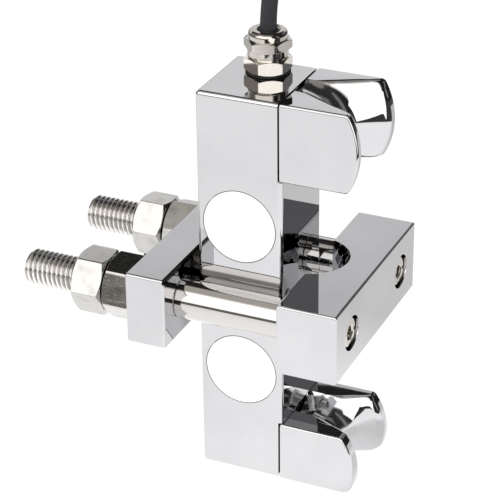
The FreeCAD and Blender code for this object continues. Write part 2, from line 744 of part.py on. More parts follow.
def cover(name, height, side):
    """A flat white disc, flush in the front (-1) or rear (+1) face."""
    body = new_body(name)
    base = sketch_on(body, "base", "XZ_Plane")
    circle(base, 0, 0, dim.cover_radius)
    pad(base, dim.cover_thickness, symmetric=True)
    return place(body, y=(BODY_FRONT - dim.cover_thickness / 2) * side, z=height)


def block(name, width, depth, height, x, y, z):
    """A plain box with its lowest corner at x, y, z."""
    made = doc.addObject("Part::Box", name)
    for path, size in (("Length", width), ("Width", depth), ("Height", height)):
        bind(made, path, size)
    return place(made, x, y, z)


def gauges(name, height):
    """One strain gauge on the front and one on the rear face of a web."""
    side = dim.gauge_side
    web = dim.web_thickness / 2
    spots = {"front": -web - dim.gauge_thickness, "rear": web}
    return group(name, [
        block(f"{name}_{spot}", side, dim.gauge_thickness, side, -side / 2, y, height - side / 2)
        for spot, y in spots.items()])


def bridge_board():
    return block(
        "bridge_board", dim.board_length, dim.board_thickness, dim.board_height,
        -dim.board_length / 2, dim.web_thickness / 2, UPPER_POCKET_Z + dim.board_rise)


def cylinder(name, radius, length):
    made = doc.addObject("Part::Cylinder", name)
    bind(made, "Radius", radius)
    bind(made, "Height", length)
    return made


def inner_leads():
    """The cable's end inside the gland, and its leads down to the bridge board."""
    jacket = cylinder("inner_leads_jacket", CABLE_RADIUS, dim.seal_top - dim.cable_inner_end)
    place(jacket, y=dim.gland_shift, z=BODY_TOP + dim.cable_inner_end)
    board_middle = UPPER_POCKET_Z + dim.board_rise + dim.board_height / 2
    bundle = cylinder("inner_leads_bundle", dim.lead_bundle_radius, BODY_TOP + dim.cable_inner_end - board_middle)
    place(bundle, y=dim.lead_bundle_shift, z=board_middle)
    return group("inner_leads", [jacket, bundle])


def cable():
    """A tube of straight runs and tangent arcs through the route's points."""
    exit_point = (0.0, dim.gland_shift.value, BODY_TOP.value + dim.cable_exit.value)
    points = [FreeCAD.Vector(*spot) for spot in [exit_point] + CABLE_ROUTE]
    radius = CABLE_RADIUS.value
    edges = []
    reached = points[0]
    for before, corner, after in zip(points, points[1:], points[2:]):
        back = (before - corner).normalize()
        ahead = (after - corner).normalize()
        half_turn = (math.pi - back.getAngle(ahead)) / 2
        trim = ARC_SHARE * min((before - corner).Length, (after - corner).Length)
        bend = trim / math.tan(half_turn)
        print(f"cable point {tuple(corner)}: turn {math.degrees(2 * half_turn):.1f}, radius {bend:.1f}")
        start = corner + back * trim
        end = corner + ahead * trim
        bisector = (back + ahead).normalize()
        crown = corner + bisector * (math.hypot(bend, trim) - bend)
        edges.append(Part.LineSegment(reached, start).toShape())
        edges.append(Part.Arc(start, crown, end).toShape())
        reached = end
    edges.append(Part.LineSegment(reached, points[-1]).toShape())
    path = Part.Wire(edges)
    section = Part.Wire(Part.Circle(points[0], points[1] - points[0], radius).toShape())
    tube = path.makePipeShell([section], True, True)
    print(f"cable tube {path.Length:.1f} long, volume over section {tube.Volume / (math.pi * radius ** 2):.1f}")
    made = doc.addObject("Part::Feature", "cable")
    made.Shape = tube
    made.Placement = FreeCAD.Placement()
    return made


def coil_corners(grown):
    """Section of the wound turns, three and two to a row, four rows high, grown by a tie's thickness."""
    wide = dim.coil_half_width
    narrow = dim.coil_top_half_width
    low = dim.tie_thickness
    top = low + dim.cable_diameter + dim.coil_row_pitch * (COIL_ROWS - 1)
    shoulder = low + dim.coil_shoulder
    mean = dim.coil_mean_radius
    return [
        (mean - wide - grown, low - grown),
        (mean + wide + grown, low - grown),
        (mean + wide + grown, shoulder),
        (mean + narrow + grown, top + grown),
        (mean - narrow - grown, top + grown),
        (mean - wide - grown, shoulder),
    ]


def coil_floor():
    """Height of the lowest row's cable axis."""
    return value_of(dim.tie_thickness + CABLE_RADIUS)


def aim(thing, start, way):
    """Points a cylinder from start along a direction."""
    thing.Placement = FreeCAD.Placement(start, FreeCAD.Rotation(Z_AXIS, way))
    return thing


def tail_start_and_way():
    """Where the lowest, outermost turn lets the tail go, and where the tail heads."""
    turn = math.radians(TAIL_ANGLE)
    outward = FreeCAD.Vector(math.cos(turn), math.sin(turn), 0)
    middle = FreeCAD.Vector(dim.coil_x.value, dim.coil_y.value, coil_floor())
    inset = dim.tail_inset.value
    start = middle + outward * (value_of(dim.coil_mean_radius + dim.cable_diameter) - inset) + Z_AXIS * inset
    return start, Z_AXIS.cross(outward)


def cable_coil():
    ring = new_body("coil_ring")
    section = sketch_on(ring, "section", "XZ_Plane")
    outline(section, coil_corners(0))
    turned(section, "V_Axis")
    place(ring, dim.coil_x, dim.coil_y)
    landing = FreeCAD.Vector(*CABLE_ROUTE[-1])
    slope = (landing - FreeCAD.Vector(*CABLE_ROUTE[-2])).normalize()
    entry = aim(cylinder("coil_entry", CABLE_RADIUS, dim.coil_entry_length), landing, slope)
    tail = aim(cylinder("coil_tail", CABLE_RADIUS, dim.tail_length), *tail_start_and_way())
    made = doc.addObject("Part::MultiFuse", "cable_coil")
    made.Shapes = [ring, entry, tail]
    return made


def coil_ties():
    """Two flat ties round the wound turns."""
    members = []
    for number, angle in enumerate(TIE_ANGLES, start=1):
        body = new_body(f"coil_ties_{number}")
        section = sketch_on(body, "section", "XZ_Plane")
        outline(section, coil_corners(dim.tie_thickness))
        outline(section, coil_corners(0))
        bind(turned(section, "V_Axis"), "Angle", dim.tie_angle)
        members.append(place(body, dim.coil_x, dim.coil_y, axis=Z_AXIS, angle=angle))
    return group("coil_ties", members)


def cable_leads():
    """Four bare leads from the end of the tail."""
    start, way = tail_start_and_way()
    tip = start + way * dim.tail_length.value
    aside = way.cross(Z_AXIS)
    spread = dim.lead_spread.value
    members = []
    for number, (across, up) in enumerate(((-1, -1), (1, -1), (1, 1), (-1, 1)), start=1):
        spot = tip + aside * (across * spread) + Z_AXIS * (up * spread)
        lead = cylinder(f"cable_leads_{number}", dim.lead_radius, dim.lead_length)
        members.append(aim(lead, spot, way))
    return group("cable_leads", members)


def all_nodes():
    rods = {"front": -dim.rod_offset, "rear": dim.rod_offset}
    lock_face = BAR_LEFT - dim.nut_height * 2 - dim.nut_gap
    nodes = [
        sensor_body(),
        rope_seat("upper_rope_seat", dim.upper_seat_height, dim.upper_rim_radius, dim.upper_groove_path,
                  UPPER_SEAT_Z, UPPER_SCREWS),
        rope_seat("lower_rope_seat", dim.lower_seat_height, dim.lower_rim_radius, dim.lower_groove_path,
                  LOWER_SEAT_Z, LOWER_SCREWS),
        seat_screws("upper_seat_screws", UPPER_SCREWS),
        seat_screws("lower_seat_screws", LOWER_SCREWS),
        clamp_block(),
        backing_bar(),
        load_button(),
    ]
    for side, y in rods.items():
        nodes.append(tie_rod(f"{side}_tie_rod", y))
        nodes.append(clamp_screw(f"{side}_clamp_screw", y))
        nodes.append(hexagon_nut(f"{side}_inner_nut", y, BAR_LEFT - dim.nut_height))
        nodes.append(hexagon_nut(f"{side}_lock_nut", y, lock_face))
    nodes += [gland_body(), gland_o_ring(), gland_cap_nut(), gland_seal()]
    for level, height in (("upper", UPPER_POCKET_Z), ("lower", LOWER_POCKET_Z)):
        nodes.append(cover(f"{level}_front_cover", height, -1))
        nodes.append(cover(f"{level}_rear_cover", height, 1))
        nodes.append(gauges(f"{level}_gauges", height))
    nodes += [bridge_board(), inner_leads(), cable(), cable_coil(), coil_ties(), cable_leads()]
    return nodes


def check(nodes):
    """Stops if any object failed or any piece has no sound shape."""
    failed = [thing.Name for thing in doc.Objects if {"Invalid", "Error"} & set(thing.State)]
    failed += [node.Name for node in nodes if node.Shape.isNull() or not node.Shape.isValid()]
    if failed:
        raise RuntimeError(f"not sound: {failed}")


pieces = all_nodes()
doc.recompute()
check(pieces)
os.makedirs("parts", exist_ok=True)
for piece in pieces:
    print(f"{piece.Label}: {len(piece.Shape.Solids)} solid, {piece.Shape.Volume:.1f} mm3")
    piece.Shape.exportStep(f"parts/{piece.Label}.step")
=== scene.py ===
"""Looks of the clamp type load cell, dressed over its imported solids. Metres, +Z up, front along -Y."""

import logging
import math
from dataclasses import dataclass, field
from enum import Enum
from typing import ClassVar, Iterable, Sequence

import bmesh
import bpy
from mathutils import Matrix, Vector


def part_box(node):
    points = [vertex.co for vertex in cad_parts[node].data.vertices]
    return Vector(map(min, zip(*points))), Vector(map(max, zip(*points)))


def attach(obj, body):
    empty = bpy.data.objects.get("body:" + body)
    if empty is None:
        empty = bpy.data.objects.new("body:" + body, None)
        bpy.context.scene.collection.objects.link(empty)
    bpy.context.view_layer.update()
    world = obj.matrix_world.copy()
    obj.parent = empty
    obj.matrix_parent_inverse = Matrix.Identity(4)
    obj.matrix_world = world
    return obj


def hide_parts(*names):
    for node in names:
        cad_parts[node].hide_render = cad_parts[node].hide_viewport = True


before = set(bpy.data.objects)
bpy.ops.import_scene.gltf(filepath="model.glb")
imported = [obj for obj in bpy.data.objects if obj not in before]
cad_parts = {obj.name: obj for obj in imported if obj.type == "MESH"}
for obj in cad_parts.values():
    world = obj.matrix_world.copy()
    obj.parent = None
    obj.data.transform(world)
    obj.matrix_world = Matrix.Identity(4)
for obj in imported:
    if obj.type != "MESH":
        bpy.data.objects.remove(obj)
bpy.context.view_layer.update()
LOG = logging.getLogger("load_cell")
MM = 0.001
MICRON = 0.000001
BODY = "root"
WHITE = (1.0, 1.0, 1.0, 1.0)
CHAMFER_SLOPE = math.tan(math.radians(30.0))
Socket = bpy.types.NodeSocket
Pair = tuple[float, float]
Triple = tuple[float, float, float]
Colour = Triple
Outline = list[Pair]
Ring = list[Vector]


class Level(Enum):
    """The two ends of the sensor body."""

    UPPER = "upper"
    LOWER = "lower"


class Side(Enum):
    """The two sides of the rope."""

    FRONT = "front"
    REAR = "rear"


class Axis(Enum):
    """The direction that a turned piece points along."""

    X = "x"
    Y = "y"
    Z = "z"

    def point(self, origin: Vector, u: float, v: float, along: float) -> Vector:
        """Places a point of a cross-section, given in millimetres.

        Args:
            origin: Where the piece's axis starts, in metres.
            u: First coordinate in the cross-section.
            v: Second coordinate in the cross-section.
            along: Distance along the axis.

        Returns:
            The point in metres.
        """
        if self is Axis.X:
            return origin + Vector((along, u, v)) * MM
        if self is Axis.Y:
            return origin + Vector((u, along, v)) * MM
        return origin + Vector((u, v, along)) * MM


class Graph:
    """Adds nodes to one shader tree and links them."""

    NOISE_ROUGHNESS: ClassVar[float] = 0.55

    def __init__(self, tree: bpy.types.NodeTree) -> None:
        """Empties the tree.

        Args:
            tree: Node tree of a material or a world.
        """
        self.tree = tree
        tree.nodes.clear()

    def add(self, kind: str, inputs: dict[str | int, object] | None = None, **settings: object) -> bpy.types.Node:
        """Adds one node.

        Args:
            kind: Type name of the node.
            inputs: Sockets to link and constants to set, by input name or number.
            settings: Properties of the node.

        Returns:
            The node.
        """
        node = self.tree.nodes.new(kind)
        for name, value in settings.items():
            setattr(node, name, value)
        for name, value in (inputs or {}).items():
            if isinstance(value, Socket):
                self.tree.links.new(value, node.inputs[name])
            else:
                node.inputs[name].default_value = value
        return node

    def link(self, source: Socket, target: Socket) -> None:
        """Joins two sockets."""
        self.tree.links.new(source, target)

    def place(self) -> Socket:
        """Gives the object's own coordinates, which are the part's frame."""
        return self.add("ShaderNodeTexCoord").outputs["Object"]

    def split(self, vector: Socket) -> dict[str, Socket]:
        """Gives a vector's three parts by their letters."""
        parts = self.add("ShaderNodeSeparateXYZ", {"Vector": vector}).outputs
        return {letter: parts[letter] for letter in "XYZ"}

    def stretch(self, place: Socket, scale: Triple) -> Socket:
        """Scales coordinates unevenly, so that a grain runs along one axis."""
        return self.add("ShaderNodeMapping", {"Vector": place, "Scale": scale}).outputs["Vector"]

    def noise(self, place: Socket, scale: float, detail: float = 2.0) -> Socket:
        """Gives soft noise with features of about 1 / scale metres."""
        inputs = {"Vector": place, "Scale": scale, "Detail": detail, "Roughness": self.NOISE_ROUGHNESS}
        return self.add("ShaderNodeTexNoise", inputs).outputs["Fac"]

    def span(self, value: Socket, low: float, high: float, to_low: float, to_high: float) -> Socket:
        """Maps one range of values to another, held at its ends.

        Args:
            value: Socket to map.
            low: Start of the range that comes in.
            high: End of the range that comes in.
            to_low: What low becomes.
            to_high: What high becomes.

        Returns:
            The mapped value.
        """
        inputs = {"Value": value, "From Min": low, "From Max": high, "To Min": to_low, "To Max": to_high}
        return self.add("ShaderNodeMapRange", inputs, clamp=True).outputs["Result"]

    def around(self, value: Socket, middle: float, reach: float, before: float, after: float) -> Socket:
        """Steps softly from one value to another, within a reach of the middle."""
        return self.span(value, middle - reach, middle + reach, before, after)

    def away(self, place: Socket, centre: Triple) -> Socket:
        """Gives the distance from a point, in metres."""
        return self.add("ShaderNodeVectorMath", {0: place, 1: centre}, operation="DISTANCE").outputs["Value"]

    def math(self, operation: str, *values: object) -> Socket:
        """Does one sum on sockets or numbers."""
        return self.add("ShaderNodeMath", dict(enumerate(values)), operation=operation).outputs[0]

    def weighed(self, *shares: tuple[Socket, float]) -> Socket:
        """Adds up two values, each with its weight."""
        return self.math("ADD", *(self.math("MULTIPLY", value, weight) for value, weight in shares))

    def length(self, first: Socket, second: Socket) -> Socket:
        """Gives the length of a vector with two parts."""
        squares = (self.math("MULTIPLY", part, part) for part in (first, second))
        return self.math("SQRT", self.math("ADD", *squares))

    def ramp(self, value: Socket, stops: Sequence[tuple[float, Colour]]) -> Socket:
        """Turns a value into a colour.

        Args:
            value: Socket from 0 to 1.
            stops: Positions and their colours, in order.

        Returns:
            The colour.
        """
        node = self.add("ShaderNodeValToRGB", {"Fac": value})
        elements = node.color_ramp.elements
        given = len(elements)
        for number, (position, colour) in enumerate(stops):
            element = elements[number] if number < given else elements.new(position)
            element.position = position
            element.color = (*colour, 1.0)
        return node.outputs["Color"]

    def bump(self, height: Socket, depth: float, strength: float, below: Socket | None = None) -> Socket:
        """Turns a height into a normal.

        Args:
            height: Height from 0 to 1.
            depth: What a height of 1 measures, in metres.
            strength: Share of the relief that shows.
            below: Normal of a coarser relief.

        Returns:
            The normal.
        """
        inputs = {"Height": height, "Distance": depth, "Strength": strength}
        if below is not None:
            inputs["Normal"] = below
        return self.add("ShaderNodeBump", inputs).outputs["Normal"]


@dataclass(frozen=True)
class Finish:
    """A surface that pieces are dressed with."""

    name: str

    def material(self) -> bpy.types.Material:
        """Gives the finish's material, made once.

        Returns:
            The material.
        """
        found = bpy.data.materials.get(self.name)
        if found is not None:
            return found
        made = bpy.data.materials.new(self.name)
        made.use_nodes = True
        graph = Graph(made.node_tree)
        shader = graph.add("ShaderNodeBsdfPrincipled")
        graph.add("ShaderNodeOutputMaterial", {"Surface": shader.outputs["BSDF"]})
        self.paint(graph, shader)
        return made

    def paint(self, graph: Graph, shader: bpy.types.Node) -> None:
        """Sets the shader's colour, gloss and relief.

        Args:
            graph: Node tree of the material.
            shader: Its principled shader.
        """
        raise NotImplementedError

    def dress(self, piece: bpy.types.Object) -> None:
        """Makes this the one finish of a piece."""
        piece.data.materials.clear()
        piece.data.materials.append(self.material())


@dataclass(frozen=True)
class MirrorPlate(Finish):
    """Bright plating over hand-polished steel, with faint haze and polishing ripple, and, where asked, a painted
    shadow in a joint's gap.

    Attributes:
        tint: Colour of the plating.
        shaded: Colour where it is cloudy.
        gloss: Least and most roughness.
        ripple: Share of the slow ripple that shows.
        joint: Where along X the painted shadow in a joint's gap ends and the plating begins, in millimetres.
        open_part: The painted joint shadow is left out in front of this Y and under this Z, in millimetres.
        turned: Distances from the middle along Y, in millimetres, over which a groove's turned bottom ends, and
            the roughness of that bottom.
    """

    tint: Colour = (0.53, 0.53, 0.54)
    shaded: Colour = (0.49, 0.49, 0.50)
    gloss: Pair = (0.012, 0.035)
    ripple: float = 0.02
    joint: Pair | None = None
    open_part: Pair | None = None
    turned: Triple | None = None
    # Colour of the painted shadow in a joint's gap.
    JOINT_SHADOW: ClassVar[Colour] = (0.004, 0.004, 0.004)
    CLOUDS: ClassVar[float] = 38.0
    WIPES: ClassVar[float] = 420.0
    RIPPLES: ClassVar[float] = 52.0
    RIPPLE_DEPTH: ClassVar[float] = 400 * MICRON
    LINES: ClassVar[float] = 5200.0
    LINE_DEPTH: ClassVar[float] = 4 * MICRON
    LINE_STRENGTH: ClassVar[float] = 0.05
    FRONT_EDGE: ClassVar[float] = 1.0
    UNDER_EDGE: ClassVar[float] = 0.2

    def paint(self, graph: Graph, shader: bpy.types.Node) -> None:
        """Sets a mirror with cloudy tone, wiped haze, slow ripple, fine polishing lines and any painted shadow in
        a joint's gap.

        Args:
            graph: Node tree of the material.
            shader: Its principled shader.
        """
        place = graph.place()
        stops = [(0.0, self.JOINT_SHADOW), (0.5, self.shaded), (1.0, self.tint)]
        tone = graph.span(graph.noise(place, self.CLOUDS, 3.0), 0.35, 0.65, 0.5, 1.0)
        # Painted shadow: the plating turns dark inside a joint's gap, where shade falls.
        if self.joint is not None:
            tone = graph.math("MULTIPLY", tone, self.clear(graph, place))
        graph.link(graph.ramp(tone, stops), shader.inputs["Base Color"])
        wiped = graph.noise(graph.stretch(place, (1.0, 1.0, 0.12)), self.WIPES, 4.0)
        haze = graph.span(wiped, 0.35, 0.75, *self.gloss)
        if self.turned is not None:
            inner, outer, rough = self.turned
            aside = graph.math("ABSOLUTE", graph.split(place)["Y"])
            haze = graph.math("MAXIMUM", haze, graph.span(aside, inner * MM, outer * MM, rough, 0.0))
        graph.link(haze, shader.inputs["Roughness"])
        slow = graph.bump(graph.noise(place, self.RIPPLES, 1.0), self.RIPPLE_DEPTH, self.ripple)
        lines = graph.noise(graph.stretch(place, (0.05, 0.05, 1.0)), self.LINES, 1.0)
        graph.link(graph.bump(lines, self.LINE_DEPTH, self.LINE_STRENGTH, slow), shader.inputs["Normal"])
        shader.inputs["Metallic"].default_value = 1.0

    def clear(self, graph: Graph, place: Socket) -> Socket:
        """Gives where the plating isn't covered by the painted shadow in a joint's gap.

        Args:
            graph: Node tree of the material.
            place: Coordinates in the part's frame.

        Returns:
            A value from 0, in painted shadow, to 1.
        """
        parts = graph.split(place)
        start, end = self.joint
        clear = graph.span(parts["X"], start * MM, end * MM, 0.0, 1.0)
        if self.open_part is None:
            return clear
        front, top = self.open_part
        ahead = graph.around(parts["Y"], front * MM, self.FRONT_EDGE * MM, 1.0, 0.0)
        under = graph.around(parts["Z"], top * MM, self.UNDER_EDGE * MM, 1.0, 0.0)
        return graph.math("MAXIMUM", clear, graph.math("MULTIPLY", ahead, under))


@dataclass(frozen=True)
class WornThread:
    """Where a thread along X is, which nuts have worn bright. Millimetres.

    Attributes:
        centre: Where its axis lies along Y and Z.
        radii: Radii of its bottom and its crest.
        end: Where it stops along X.
        rough: Its roughness.
    """

    centre: Pair
    radii: Pair
    end: float
    rough: float = 0.24
    END_EDGE: ClassVar[float] = 0.4


@dataclass(frozen=True)
class TurnedMetal(Finish):
    """Metal finished on a lathe: fine lines run round the axis, and a thread holds some grime.

    Attributes:
        tint: Colour of the metal.
        shaded: Colour where it is duller.
        grime: Colour at the bottom of a thread.
        bare: Colour of a thread's crests.
        gloss: Least and most roughness.
        axis: Direction of the lathe's axis, X or Z.
        thread: The thread, where there is one.
        lines: Share of the turning lines that shows.
    """

    tint: Colour = (0.53, 0.515, 0.50)
    shaded: Colour = (0.46, 0.445, 0.43)
    grime: Colour = (0.12, 0.11, 0.10)
    bare: Colour = (0.88, 0.86, 0.83)
    gloss: Pair = (0.05, 0.10)
    axis: Axis = Axis.X
    thread: WornThread | None = None
    lines: float = 0.25
    SMEAR: ClassVar[float] = 0.03
    TURNING: ClassVar[float] = 2600.0
    TURNING_DEPTH: ClassVar[float] = 6 * MICRON
    TURNING_WEIGHT: ClassVar[float] = 0.35
    BLOTCHES: ClassVar[float] = 120.0
    BLOTCH_WEIGHT: ClassVar[float] = 0.65
    CREST_LEVEL: ClassVar[float] = 0.54
    TONE_LEVEL: ClassVar[float] = 0.225
    WORN_LEVEL: ClassVar[float] = 0.27

    def paint(self, graph: Graph, shader: bpy.types.Node) -> None:
        """Sets the tone, the turning lines and the grime and wear of a thread.

        Args:
            graph: Node tree of the material.
            shader: Its principled shader.
        """
        place = graph.place()
        grain = (1.0, self.SMEAR, self.SMEAR) if self.axis is Axis.X else (self.SMEAR, self.SMEAR, 1.0)
        turning = graph.noise(graph.stretch(place, grain), self.TURNING, 3.0)
        blotch = graph.noise(place, self.BLOTCHES, 4.0)
        tone = graph.weighed((turning, self.TURNING_WEIGHT), (blotch, self.BLOTCH_WEIGHT))
        haze = graph.span(tone, 0.3, 0.7, *self.gloss)
        if self.thread is None:
            colour = graph.ramp(tone, [(0.34, self.shaded), (0.62, self.tint)])
        else:
            parts = graph.split(place)
            end = self.thread.end
            worn = graph.span(parts["X"], (end - self.thread.END_EDGE) * MM, end * MM, 1.0, 0.0)
            haze = graph.math("MAXIMUM", haze, graph.math("MULTIPLY", worn, self.thread.rough))
            colour = self.thread_colour(graph, parts, tone, worn)
        graph.link(colour, shader.inputs["Base Color"])
        graph.link(haze, shader.inputs["Roughness"])
        graph.link(graph.bump(turning, self.TURNING_DEPTH, self.lines), shader.inputs["Normal"])
        shader.inputs["Metallic"].default_value = 1.0

    def thread_colour(self, graph: Graph, parts: dict[str, Socket], tone: Socket, worn: Socket) -> Socket:
        """Gives the colour of a threaded rod, from grime at a bottom to bare metal at a crest.

        Args:
            graph: Node tree of the material.
            parts: The place's coordinates.
            tone: Tone of the turned metal.
            worn: Where the thread is worn, from 0 to 1.

        Returns:
            The colour.
        """
        offsets = [graph.math("SUBTRACT", parts[letter], middle * MM)
                   for letter, middle in zip("YZ", self.thread.centre)]
        bottom, crest = self.thread.radii
        rise = graph.span(graph.length(*offsets), bottom * MM, crest * MM, 0.0, self.CREST_LEVEL)
        level = graph.math("ADD", rise, graph.weighed((tone, self.TONE_LEVEL), (worn, self.WORN_LEVEL)))
        return graph.ramp(
            level, [(0.12, self.grime), (0.465, self.shaded), (0.69, self.tint), (0.95, self.bare)])


@dataclass(frozen=True)
class ScuffedMetal(Finish):
    """Bright fastener steel with spanner scuffs, scratches and a little patina."""

    tint: Colour = (0.47, 0.46, 0.445)
    shaded: Colour = (0.38, 0.37, 0.355)
    gloss: Pair = (0.10, 0.22)
    scuff: float = 0.5
    PATINA: ClassVar[float] = 260.0
    LONG_SCRATCHES: ClassVar[float] = 2300.0
    CROSS_SCRATCHES: ClassVar[float] = 1700.0
    SCRATCH_DEPTH: ClassVar[float] = 10 * MICRON
    DENTS: ClassVar[float] = 520.0
    DENT_DEPTH: ClassVar[float] = 60 * MICRON

    def paint(self, graph: Graph, shader: bpy.types.Node) -> None:
        """Sets patina, scratches along and across the facets, and shallow dents.

        Args:
            graph: Node tree of the material.
            shader: Its principled shader.
        """
        place = graph.place()
        patina = graph.noise(place, self.PATINA, 5.0)
        along = graph.noise(graph.stretch(place, (0.10, 1.0, 1.0)), self.LONG_SCRATCHES, 4.0)
        across = graph.noise(graph.stretch(place, (1.0, 0.12, 0.2)), self.CROSS_SCRATCHES, 4.0)
        scratch = graph.math(
            "MAXIMUM", graph.span(along, 0.60, 0.70, 0.0, 1.0), graph.span(across, 0.63, 0.72, 0.0, 1.0))
        tone = graph.math("SUBTRACT", patina, graph.math("MULTIPLY", scratch, 0.10 * self.scuff))
        graph.link(graph.ramp(tone, [(0.30, self.shaded), (0.52, self.tint)]), shader.inputs["Base Color"])
        rough = graph.weighed((patina, 0.7), (scratch, 0.35))
        graph.link(graph.span(rough, 0.25, 0.75, *self.gloss), shader.inputs["Roughness"])
        dents = graph.bump(graph.noise(place, self.DENTS, 3.0), self.DENT_DEPTH, 0.35 * self.scuff)
        graph.link(graph.bump(scratch, self.SCRATCH_DEPTH, 0.5 * self.scuff, dents), shader.inputs["Normal"])
        shader.inputs["Metallic"].default_value = 1.0


@dataclass(frozen=True)
class SoftBlack(Finish):
    """Rubber, cable jacket or nylon, with a fine grain and dusty lighter spots."""

    tint: Colour = (0.0025, 0.0025, 0.0026)
    dusty: Colour = (0.006, 0.006, 0.006)
    gloss: Pair = (0.32, 0.50)
    grain: float = 1800.0
    relief: float = 0.25
    shine: float = 0.5
    DUST: ClassVar[float] = 170.0
    GRAIN_DEPTH: ClassVar[float] = 30 * MICRON

    def paint(self, graph: Graph, shader: bpy.types.Node) -> None:
        """Sets the black, its dust and its grain.

        Args:
            graph: Node tree of the material.
            shader: Its principled shader.
        """
        place = graph.place()
        dust = graph.noise(place, self.DUST, 5.0)
        graph.link(graph.ramp(dust, [(0.40, self.tint), (0.72, self.dusty)]), shader.inputs["Base Color"])
        graph.link(graph.span(dust, 0.3, 0.7, *self.gloss), shader.inputs["Roughness"])
        grain = graph.noise(place, self.grain, 3.0)
        graph.link(graph.bump(grain, self.GRAIN_DEPTH, self.relief), shader.inputs["Normal"])
        shader.inputs["Specular IOR Level"].default_value = self.shine


@dataclass(frozen=True)
class CoverFilm(Finish):
    """Plain white film on a disc, with a barely visible mottle and grain, and a painted shadow line in the gap
    round it.

    Attributes:
        tint: Colour of the film.
        shaded: Colour of its mottle.
        edge: Colour of the painted shadow line in the gap round it.
        middle: Height between the upper and the lower disc, in millimetres.
        offset: From there to a disc's middle, in millimetres.
        rim: Radii where the film ends and where the painted shadow line is at its darkest, in millimetres.
        gloss: Least and most roughness.
    """

    tint: Colour = (0.93, 0.93, 0.93)
    shaded: Colour = (0.88, 0.88, 0.885)
    edge: Colour = (0.10, 0.10, 0.105)
    middle: float = 64.9
    offset: float = 26.0
    rim: Pair = (12.12, 12.26)
    gloss: Pair = (0.38, 0.52)
    MOTTLE: ClassVar[float] = 240.0
    GRAIN: ClassVar[float] = 3000.0
    GRAIN_DEPTH: ClassVar[float] = 10 * MICRON
    GRAIN_STRENGTH: ClassVar[float] = 0.2

    def paint(self, graph: Graph, shader: bpy.types.Node) -> None:
        """Sets the white, its mottle, its grain and the painted shadow line round its edge.

        Args:
            graph: Node tree of the material.
            shader: Its principled shader.
        """
        place = graph.place()
        parts = graph.split(place)
        # Painted shadow: a thin dark line at the film's edge stands in for the shade in the gap round the disc.
        rise = graph.math("ABSOLUTE", graph.math("SUBTRACT", parts["Z"], self.middle * MM))
        rise = graph.math("SUBTRACT", rise, self.offset * MM)
        inside = graph.span(graph.length(rise, parts["X"]), self.rim[0] * MM, self.rim[1] * MM, 1.0, 0.0)
        mottle = graph.noise(place, self.MOTTLE, 4.0)
        tone = graph.math("MULTIPLY", graph.span(mottle, 0.35, 0.60, 0.7, 1.0), inside)
        stops = [(0.0, self.edge), (0.7, self.shaded), (1.0, self.tint)]
        graph.link(graph.ramp(tone, stops), shader.inputs["Base Color"])
        graph.link(graph.span(mottle, 0.3, 0.7, *self.gloss), shader.inputs["Roughness"])
        grain = graph.noise(place, self.GRAIN, 2.0)
        graph.link(graph.bump(grain, self.GRAIN_DEPTH, self.GRAIN_STRENGTH), shader.inputs["Normal"])


@dataclass(frozen=True)
class WireCoat(Finish):
    """Coloured insulation of a lead, slightly uneven along its length."""

    tint: Colour
    gloss: Pair = (0.30, 0.44)
    UNEVENNESS: ClassVar[float] = 700.0
    DARKER: ClassVar[float] = 0.72

    def paint(self, graph: Graph, shader: bpy.types.Node) -> None:
        """Sets the colour with a darker, duller share.

        Args:
            graph: Node tree of the material.
            shader: Its principled shader.
        """
        uneven = graph.noise(graph.place(), self.UNEVENNESS, 3.0)
        darker = tuple(self.DARKER * part for part in self.tint)
        graph.link(graph.ramp(uneven, [(0.35, darker), (0.65, self.tint)]), shader.inputs["Base Color"])
        graph.link(graph.span(uneven, 0.3, 0.7, *self.gloss), shader.inputs["Roughness"])


@dataclass(frozen=True)
class EtchedFilm(Finish):
    """Film with an etched metal pattern, as on a gauge or a small board."""

    ground: Colour = (0.55, 0.33, 0.08)
    metal: Colour = (0.62, 0.58, 0.50)
    pitch: float = 420.0
    gloss: Pair = (0.45, 0.25)

    def paint(self, graph: Graph, shader: bpy.types.Node) -> None:
        """Sets bright lines on the film.

        Args:
            graph: Node tree of the material.
            shader: Its principled shader.
        """
        inputs = {"Vector": graph.place(), "Scale": self.pitch, "Distortion": 0.0}
        waves = graph.add("ShaderNodeTexWave", inputs).outputs["Fac"]
        line = graph.span(waves, 0.55, 0.65, 0.0, 1.0)
        graph.link(graph.ramp(line, [(0.0, self.ground), (1.0, self.metal)]), shader.inputs["Base Color"])
        graph.link(graph.span(line, 0.0, 1.0, *self.gloss), shader.inputs["Roughness"])
        graph.link(line, shader.inputs["Metallic"])


